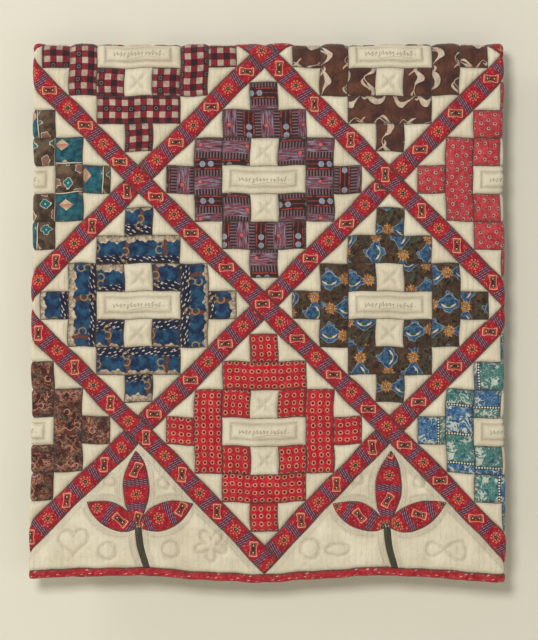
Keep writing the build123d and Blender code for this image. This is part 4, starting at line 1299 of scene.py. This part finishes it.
for face, crossing_row, sense in (("front", 1, 1), ("back", ROWS - 1, -1)):
    leaves, stems = Unit(f"tulip_leaves_sewn_{face}"), Unit(f"tulip_stems_sewn_{face}")
    for column, flower in FLOWERS.items():
        crossing_x, crossing_along = pattern_place(column, crossing_row)
        for number in range(3):
            x0, d0 = leaf_point(flower, number, 0, 0)
            x1, d1 = leaf_point(flower, number, 1, 0)
            length = math.hypot(x1 - x0, d1 - d0)
            share, offset, faces = cut(np.linspace(0.004, 0.996, 49), np.linspace(-1, 1, 13))
            right, down = leaf_point(flower, number, share, offset)
            across, along = crossing_x + right, crossing_along + sense * down
            width = LEAF_W * 2 * share * (1 - share)
            from_edge = np.minimum((1 - np.abs(offset)) * width, np.minimum(share, 1 - share) * length)
            lift = 0.0004 + 0.0013 * (1 - np.exp(-from_edge / 0.0022)) + 0.5 * unevenness(across, along)
            lift = lift + 0.0007 * (number == 1)
            vein = furrow(offset * width, 0.0007, 0.0016) if number == 1 else 0
            if sense > 0:
                faces = [corners[::-1] for corners in faces]
            spot = [(share * length - SPOOLS_ON_LEAVES[column][number]) * 1000, offset * width * 1000]
            spot.append(share * 0 + LEAF_LEANS[column][number])
            leaves.sew((across, along, faces), lift + vein, from_edge * 1000, spot, 0, tuck=0.0022)
        share, offset, faces = cut(np.linspace(0, 1, 31), np.linspace(-1, 1, 7))
        right, down = stem_point(flower, share, offset)
        across, along = crossing_x + right, crossing_along + sense * down
        lift = 0.0002 + 0.0012 * (1 - offset**2) + 0.3 * unevenness(across, along)
        spot = [offset * STEM_W * 500, share * STEM_LENGTH * 1000, share * 0]
        if sense > 0:
            faces = [corners[::-1] for corners in faces]
        stems.sew((across, along, faces), lift, (1 - np.abs(offset)) * STEM_W * 500, spot, 0, tuck=0.0018)
    leaves.finish([sash_print], "sash_print", f"tulip_leaves_{face}")
    stems.finish([stem_cloth], "stem_cloth", f"tulip_stems_{face}")

# ------------------------------------------------------------ quilting stitches
# Small even running stitches of waxed cotton thread, in the furrows of the double lines and figures.
# The thread is coloured dark brown, partly its own colour and partly painted shade at the stitches.
STITCH_LENGTH = 0.0020
STITCH_PITCH = 0.0036
STITCH_HALF_W = 0.00042


def draw_thread_and_stitch_shade(tree, print_at, quilt_at):
    # Dark browns: partly the thread's own colour, partly painted shade round the stitches, so they show as
    # dark dots
    worn = noise(tree, quilt_at, 0.3, 1.0).rise(0.4, 0.6)
    return paint(tree, (0.30, 0.23, 0.155), (0.20, 0.150, 0.10), worn)


thread = cotton("Quilting thread and stitch shade", draw_thread_and_stitch_shade, wear=0.2, soil_and_shade=0.0, ribs=0.0)


def resampled(points, pitch):
    """Points a pitch apart along a line, each with the direction of the line there."""
    steps = np.hypot(*np.diff(points, axis=0).T)
    run = np.concatenate([[0], np.cumsum(steps)])
    spots = np.arange(pitch / 2, run[-1], pitch)
    x, y = np.interp(spots, run, points[:, 0]), np.interp(spots, run, points[:, 1])
    ahead_x, ahead_y = np.interp(spots + 1e-4, run, points[:, 0]), np.interp(spots + 1e-4, run, points[:, 1])
    direction = np.stack([ahead_x - x, ahead_y - y], -1)
    return np.stack([x, y], -1), direction / np.maximum(np.hypot(*direction.T), 1e-9)[:, None]


def echo_lines(flower, echo):
    """Lines at a set distance round the leaves, the stem, and inside the two strips."""
    lines = []
    share = np.linspace(0.01, 0.99, 90)
    for number in range(3):
        x0, d0 = leaf_point(flower, number, 0, 0)
        x1, d1 = leaf_point(flower, number, 1, 0)
        length = math.hypot(x1 - x0, d1 - d0)
        for hand in (-1, 1):
            right, down = leaf_point(flower, number, share, hand)
            right, down = right - (d1 - d0) / length * hand * echo, down + (x1 - x0) / length * hand * echo
            lines.append(np.stack([right, down], -1))
    for hand in (-1, 1):
        right, down = stem_point(flower, np.linspace(0.1, 1, 30), hand)
        lines.append(np.stack([right + hand * echo, down], -1))
        reach = np.linspace(0.02, HALF_PITCH - 0.012, 60)
        lines.append(np.stack([hand * (reach - echo * math.sqrt(2)), reach + SASH_ACROSS], -1))
    return lines


for face, crossing_row, sense in (("front", 1, 1), ("back", ROWS - 1, -1)):
    unit = Unit(f"quilting_stitches_{face}")
    for column, flower in FLOWERS.items():
        crossing_x, crossing_along = pattern_place(column, crossing_row)
        lines = [figure_outline(*figure) for figure in FIGURES[column]]
        for echo in ECHOES:
            lines += echo_lines(flower, echo)
        spots, ways = zip(*[resampled(line, STITCH_PITCH) for line in lines])
        spots, ways = np.concatenate(spots), np.concatenate(ways)
        clear = applique_distance(flower, *spots.T) > ECHOES[0] * 0.75
        clear &= (spots[:, 1] - SASH_ACROSS - np.abs(spots[:, 0])) / math.sqrt(2) > ECHOES[0] * 0.75
        clear &= spots[:, 1] < SASH_ACROSS + HALF_PITCH - 0.004
        spots, ways = spots[clear], ways[clear]
        beside = np.stack([-ways[:, 1], ways[:, 0]], -1)
        ends = [(-0.5, 0), (0, 1), (0.5, 0), (0, -1), (0, 0)]
        ring = [spots + ways * STITCH_LENGTH * step + beside * STITCH_HALF_W * hand for step, hand in ends]
        places = np.stack(ring, 1).reshape(-1, 2)
        across, along = crossing_x + places[:, 0], crossing_along + sense * places[:, 1]
        lift, _ = border_lift(flower, FIGURES[column], places[:, 0], places[:, 1], across, along)
        rise = np.tile([-0.0001, 0.0001, -0.0001, 0.0001, 0.00045], len(spots))
        order = [(0, 1, 4), (1, 2, 4), (2, 3, 4), (3, 0, 4)]
        if sense > 0:
            order = [corners[::-1] for corners in order]
        stitches = range(len(spots))
        faces = [tuple(5 * stitch + corner for corner in corners) for stitch in stitches for corners in order]
        unit.sew((across, along, faces), lift + rise, 9.0, millimetres(across, along), 0, tuck=0.0003)
    unit.finish([thread], "muslin")

# ------------------------------------------------------------ binding
# A half-inch binding of red calico with pale flecks, sewn to the face, rolled over the raw edges of
# all three layers and hemmed down behind.
BINDING_PROFILE = (
    (-0.0004, -0.0018),
    (0.0006, -0.0001),
    (0.0028, 0.0009),
    (0.0064, 0.0012),
    (0.0098, 0.0006),
    (0.0120, -0.0010),
    (0.0127, -0.0030),
    (0.0120, -0.0050),
    (0.0098, -0.0060),
    (0.0064, -0.0062),
    (0.0028, -0.0062),
    (0.0002, -0.0061),
)


def draw_binding(tree, print_at, quilt_at):
    colour = mottle(tree, quilt_at, (0.30, 0.014, 0.022), (0.40, 0.030, 0.034), 0.10)
    x, y, pick = use(tree, "Motif place", Print=print_at, Width=13.0, Height=8.6, Shift=0.5, Jitter=2.4)
    fleck = (x * 0.35).size().higher((y + x * 0.3).size())
    colour = paint(tree, colour, (0.70, 0.46, 0.38), fleck.within(0.62, 0.3) * pick.rise(0.2, 0.3))
    return paint(tree, colour, (0.14, 0.010, 0.016), x.repeat(3.4).size().within(0.3, 0.3) * 0.35)


binding_calico = cotton("Binding calico", draw_binding, wear=0.5, soil_and_shade=0.9, ribs=0.0)


def lines_over_quilt(flat):
    """Grid lines across the quilt, close together round the side folds."""
    edge = SEAM_HALF + BINDING
    fold_end = flat + math.pi * TURN_R
    half = np.concatenate(
        [
            np.arange(0, flat - 0.004, 0.0034),
            np.linspace(flat - 0.004, fold_end + 0.003, 26),
            np.linspace(fold_end + 0.006, edge - abs(MIDDLE_X), 60),
        ]
    )
    return np.concatenate([-half[::-1], half[1:]])


def bound_edge(name, node, run, place):
    """Rolls the binding along an edge; place(run, outward) gives across and along."""
    outward = np.array([point[0] for point in BINDING_PROFILE])
    proud = np.array([point[1] for point in BINDING_PROFILE])
    run_grid, outward_grid = np.meshgrid(run, outward, indexing="ij")
    proud_grid = np.meshgrid(run, proud, indexing="ij")[1]
    faces = cut(run, np.arange(len(outward)))[2]
    across, along = place(run_grid, outward_grid)
    frame_there = np.array(place(*np.eye(2))) - np.array(place(*np.zeros((2, 2))))
    if np.linalg.det(frame_there) < 0:
        faces = [corners[::-1] for corners in faces]
    pucker = 0.00022 * np.sin(run_grid / 0.00105 + 2.0 * np.sin(run_grid / 0.017)) * (proud_grid > -0.004)
    lift = proud_grid + pucker + 0.0004 * rumple(run_grid, outward_grid, 0.021, 33) * (proud_grid > -0.004)
    seam = np.clip(outward_grid * 1000, 0, 20)
    unit = Unit(name)
    unit.sew((across, along, faces), lift, seam, [run_grid * 1000, (outward_grid - proud_grid) * 1000, 0], 0)
    return unit.finish([binding_calico], "binding_calico", node)


hem_runs = {"front": lines_over_quilt(FLAT_TO), "back": lines_over_quilt(BACK_HALF - TURN_R)}
for face, end_along, sense in (("front", FRONT_END, 1), ("back", BACK_END, -1)):
    bound_edge(
            f"bound_{face}_hem",
            f"binding_{face}_hem",
            hem_runs[face],
            lambda run, out: (run, end_along + sense * out),
        )
edge_run = np.linspace(BACK_END - BINDING, FRONT_END + BINDING, 420)
for side, side_name in ((-1, "left"), (1, "right")):
    bound_edge(
            f"bound_edge_{side_name}",
            f"binding_edge_{side_name}",
            edge_run,
            lambda run, out: (MIDDLE_X + side * (SEAM_HALF + out), run),
        )

# ------------------------------------------------------------ backing
# Plain muslin seen only inside the folds: one sheet behind the batting, as large as the quilt, with
# the dimples of the quilting in it.
along_lines = np.concatenate(
    [
        np.arange(BACK_END, -FOLD_LENGTH - 0.012, 0.009),
        np.linspace(-FOLD_LENGTH - 0.010, FOLD_LENGTH + 0.010, 40),
        np.arange(FOLD_LENGTH + 0.012, FRONT_END + 0.001, 0.009),
    ]
)
backing_lines = lines_over_quilt(FLAT_TO)
backing_lines = backing_lines[np.abs(backing_lines) < SEAM_HALF - abs(MIDDLE_X) + 0.001]
across, along, faces = cut(backing_lines, along_lines)
unit = Unit("quilt_backing")
lift = -QUILT_THICK + 0.0002 * rumple(across, along, 0.03, 41)
faces = [corners[::-1] for corners in faces]
unit.sew((across, along, faces), lift, 12.0, millimetres(across, along), 0, 0.0)
widths = ("middle", "turned_left", "turned_right")
hidden = [f"{layer}_{width}" for layer in ("backing", "batting") for width in widths]
backing = unit.finish([muslin], "backing_muslin", *hidden)
FRONT_END - BACK_END + 2 * BINDING

# ------------------------------------------------------------ wall rack
# A planed hardwood board screwed to the wall, two brackets bent from 3 mm steel and enamelled black,
# and a waxed slat with a round top that drops over them and carries the quilt.
tree, (place, light, dark, rings), outlet = open_group(
    "Wood grain",
    {
        "Place": ("Vector", None),
        "Light": ("Color", (0.5, 0.3, 0.2, 1)),
        "Dark": ("Color", (0.2, 0.1, 0.05, 1)),
        "Rings": ("Float", 90.0),
    },
    {"Color": "Color", "Height": "Float"},
)
x, y, z = parts_of(tree, place)
drift = noise(tree, vector(tree, x * 1.6, y * 9.0, z * 9.0), 1.0, 2.0)
ring = ((z + y * 0.6 + drift * 0.05) * rings).work("SINE") * 0.5 + 0.5
pore = noise(tree, vector(tree, x * 55.0, y * 1400.0, z * 1400.0), 1.0, 2.0).rise(0.56, 0.72)
streak = noise(tree, vector(tree, x * 3.0, y * 160.0, z * 160.0), 1.0, 3.0).rise(0.3, 0.7)
colour = paint(tree, light, dark, ring.work("POWER", 2.2) * 0.55 + streak * 0.35)
colour = paint(tree, colour, (0.03, 0.016, 0.008), pore * 0.5)
close_group(tree, outlet, colour, pore * -1.0 - ring * 0.3)


def timber(name, light, dark, rings, gloss, coat):
    material, tree, shader = new_material(name)
    place = tree.nodes.new("ShaderNodeTexCoord")
    colour, height = use(
        tree, "Wood grain", Place=Number(tree, place.outputs["Object"]), Light=light, Dark=dark, Rings=rings
    )
    feed(tree, shader.inputs["Base Color"], colour)
    feed(tree, shader.inputs["Roughness"], height * -0.12 + gloss)
    bump = tree.nodes.new("ShaderNodeBump")
    bump.inputs["Strength"].default_value = 0.35
    bump.inputs["Distance"].default_value = 0.0004
    feed(tree, bump.inputs["Height"], height)
    tree.links.new(bump.outputs[0], shader.inputs["Normal"])
    shader.inputs["Coat Weight"].default_value = coat
    shader.inputs["Coat Roughness"].default_value = 0.35
    return material


def finish_node(node, material):
    """Gives a CAD part its finish."""
    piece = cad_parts[node]
    piece.data.materials.clear()
    piece.data.materials.append(material)


walnut = timber("Oiled walnut", (0.30, 0.17, 0.085, 1), (0.13, 0.065, 0.032, 1), 210.0, 0.45, 0.15)
maple = timber("Waxed maple", (0.52, 0.36, 0.20, 1), (0.34, 0.20, 0.095, 1), 320.0, 0.38, 0.30)
finish_node("wall_board", walnut)
finish_node("rail", maple)


def metal(name, base, second, metallic, roughness, grit_scale, strength):
    """Enamel or plating: a slightly uneven surface with rubbed places."""
    material, tree, shader = new_material(name)
    place = Number(tree, tree.nodes.new("ShaderNodeTexCoord").outputs["Object"])
    rub = noise(tree, place, 35.0, 4.0).rise(0.55, 0.80)
    grit = noise(tree, place, grit_scale, 2.0)
    feed(tree, shader.inputs["Base Color"], paint(tree, base, second, rub * 0.7))
    feed(tree, shader.inputs["Roughness"], rub * 0.14 + grit * 0.08 + roughness)
    shader.inputs["Metallic"].default_value = metallic
    bump = tree.nodes.new("ShaderNodeBump")
    bump.inputs["Strength"].default_value = strength
    bump.inputs["Distance"].default_value = 0.0003
    feed(tree, bump.inputs["Height"], grit)
    tree.links.new(bump.outputs[0], shader.inputs["Normal"])
    return material


enamel = metal("Black enamel", (0.012, 0.012, 0.013), (0.035, 0.033, 0.031), 0.0, 0.34, 900.0, 0.30)
enamel.node_tree.nodes["Principled BSDF"].inputs["Coat Weight"].default_value = 0.25
for node in ("bracket_left", "bracket_right"):
    finish_node(node, enamel)
zinc = metal("Zinc plate", (0.55, 0.54, 0.51), (0.40, 0.38, 0.33), 1.0, 0.34, 1800.0, 0.15)
finish_node("bracket_screws", zinc)

# ------------------------------------------------------------ room, light and camera
# A pale wall that the rack hangs on and a pale floor below, with soft light from the upper left.
FLOOR_Z = -1.75


def backdrop(name, corners, see_through_back):
    mesh = bpy.data.meshes.new(name)
    mesh.from_pydata(corners, [], [(0, 1, 2, 3)])
    piece = bpy.data.objects.new(name, mesh)
    bpy.context.scene.collection.objects.link(piece)
    material, tree, shader = new_material(name + "_paint")
    place = Number(tree, tree.nodes.new("ShaderNodeTexCoord").outputs["Object"])
    colour = paint(tree, (0.655, 0.635, 0.540), (0.630, 0.608, 0.515), noise(tree, place, 3.0, 4.0))
    feed(tree, shader.inputs["Base Color"], colour)
    shader.inputs["Roughness"].default_value = 0.95
    shader.inputs["Specular IOR Level"].default_value = 0.1
    if see_through_back:
        clear = tree.nodes.new("ShaderNodeBsdfTransparent")
        which = tree.nodes.new("ShaderNodeNewGeometry")
        choice = tree.nodes.new("ShaderNodeMixShader")
        tree.links.new(which.outputs["Backfacing"], choice.inputs[0])
        tree.links.new(shader.outputs[0], choice.inputs[1])
        tree.links.new(clear.outputs[0], choice.inputs[2])
        tree.links.new(choice.outputs[0], tree.nodes["Material Output"].inputs["Surface"])
        piece.visible_shadow = False
    mesh.materials.append(material)


WALL_Y = 0.0008
backdrop("wall", [(-6, WALL_Y, FLOOR_Z), (6, WALL_Y, FLOOR_Z), (6, WALL_Y, 4), (-6, WALL_Y, 4)], True)
backdrop("floor", [(-6, -9, FLOOR_Z), (6, -9, FLOOR_Z), (6, 4, FLOOR_Z), (-6, 4, FLOOR_Z)], False)

MIDDLE_Z = -0.314


def softbox(name, place, size, power, colour):
    """A square soft light that faces the middle of the quilt."""
    light = bpy.data.lights.new(name, "AREA")
    light.shape = "SQUARE"
    light.size = size
    light.energy = power
    light.color = colour
    lamp = bpy.data.objects.new(name, light)
    bpy.context.scene.collection.objects.link(lamp)
    lamp.location = place
    away = lamp.location - mathutils.Vector((0, RAIL_Y, MIDDLE_Z))
    lamp.rotation_euler = away.to_track_quat("Z", "Y").to_euler()


softbox("key_light", (-1.20, -5.5, 1.25), 1.3, 208.0, (1.0, 0.99, 0.965))
softbox("raking_light", (-3.2, -1.4, 2.2), 0.9, 56.0, (1.0, 0.985, 0.95))
softbox("fill_light", (2.0, -3.4, -1.5), 2.2, 20.0, (0.99, 0.99, 1.0))
softbox("back_light", (-1.6, 2.4, 1.0), 1.6, 60.0, (1.0, 0.99, 0.97))

world = bpy.data.worlds.new("studio")
world.use_nodes = True
world.node_tree.nodes["Background"].inputs["Color"].default_value = (1.0, 0.99, 0.97, 1.0)
world.node_tree.nodes["Background"].inputs["Strength"].default_value = 0.31
bpy.context.scene.world = world

CAMERA_FAR = 5.5
VIEW_HEIGHT = 1.019
SENSOR = 24.0
camera = bpy.data.cameras.new("camera")
camera.sensor_fit = "VERTICAL"
camera.sensor_height = SENSOR
camera.lens = SENSOR * CAMERA_FAR / VIEW_HEIGHT
camera.clip_end = 40.0
camera_object = bpy.data.objects.new("camera", camera)
bpy.context.scene.collection.objects.link(camera_object)
camera_object.location = (0.0016, RAIL_Y - OUTER_R - CAMERA_FAR, MIDDLE_Z)
camera_object.rotation_euler = (math.pi / 2, 0, 0)
bpy.context.scene.camera = camera_object
bpy.context.scene.view_settings.view_transform = "Standard"
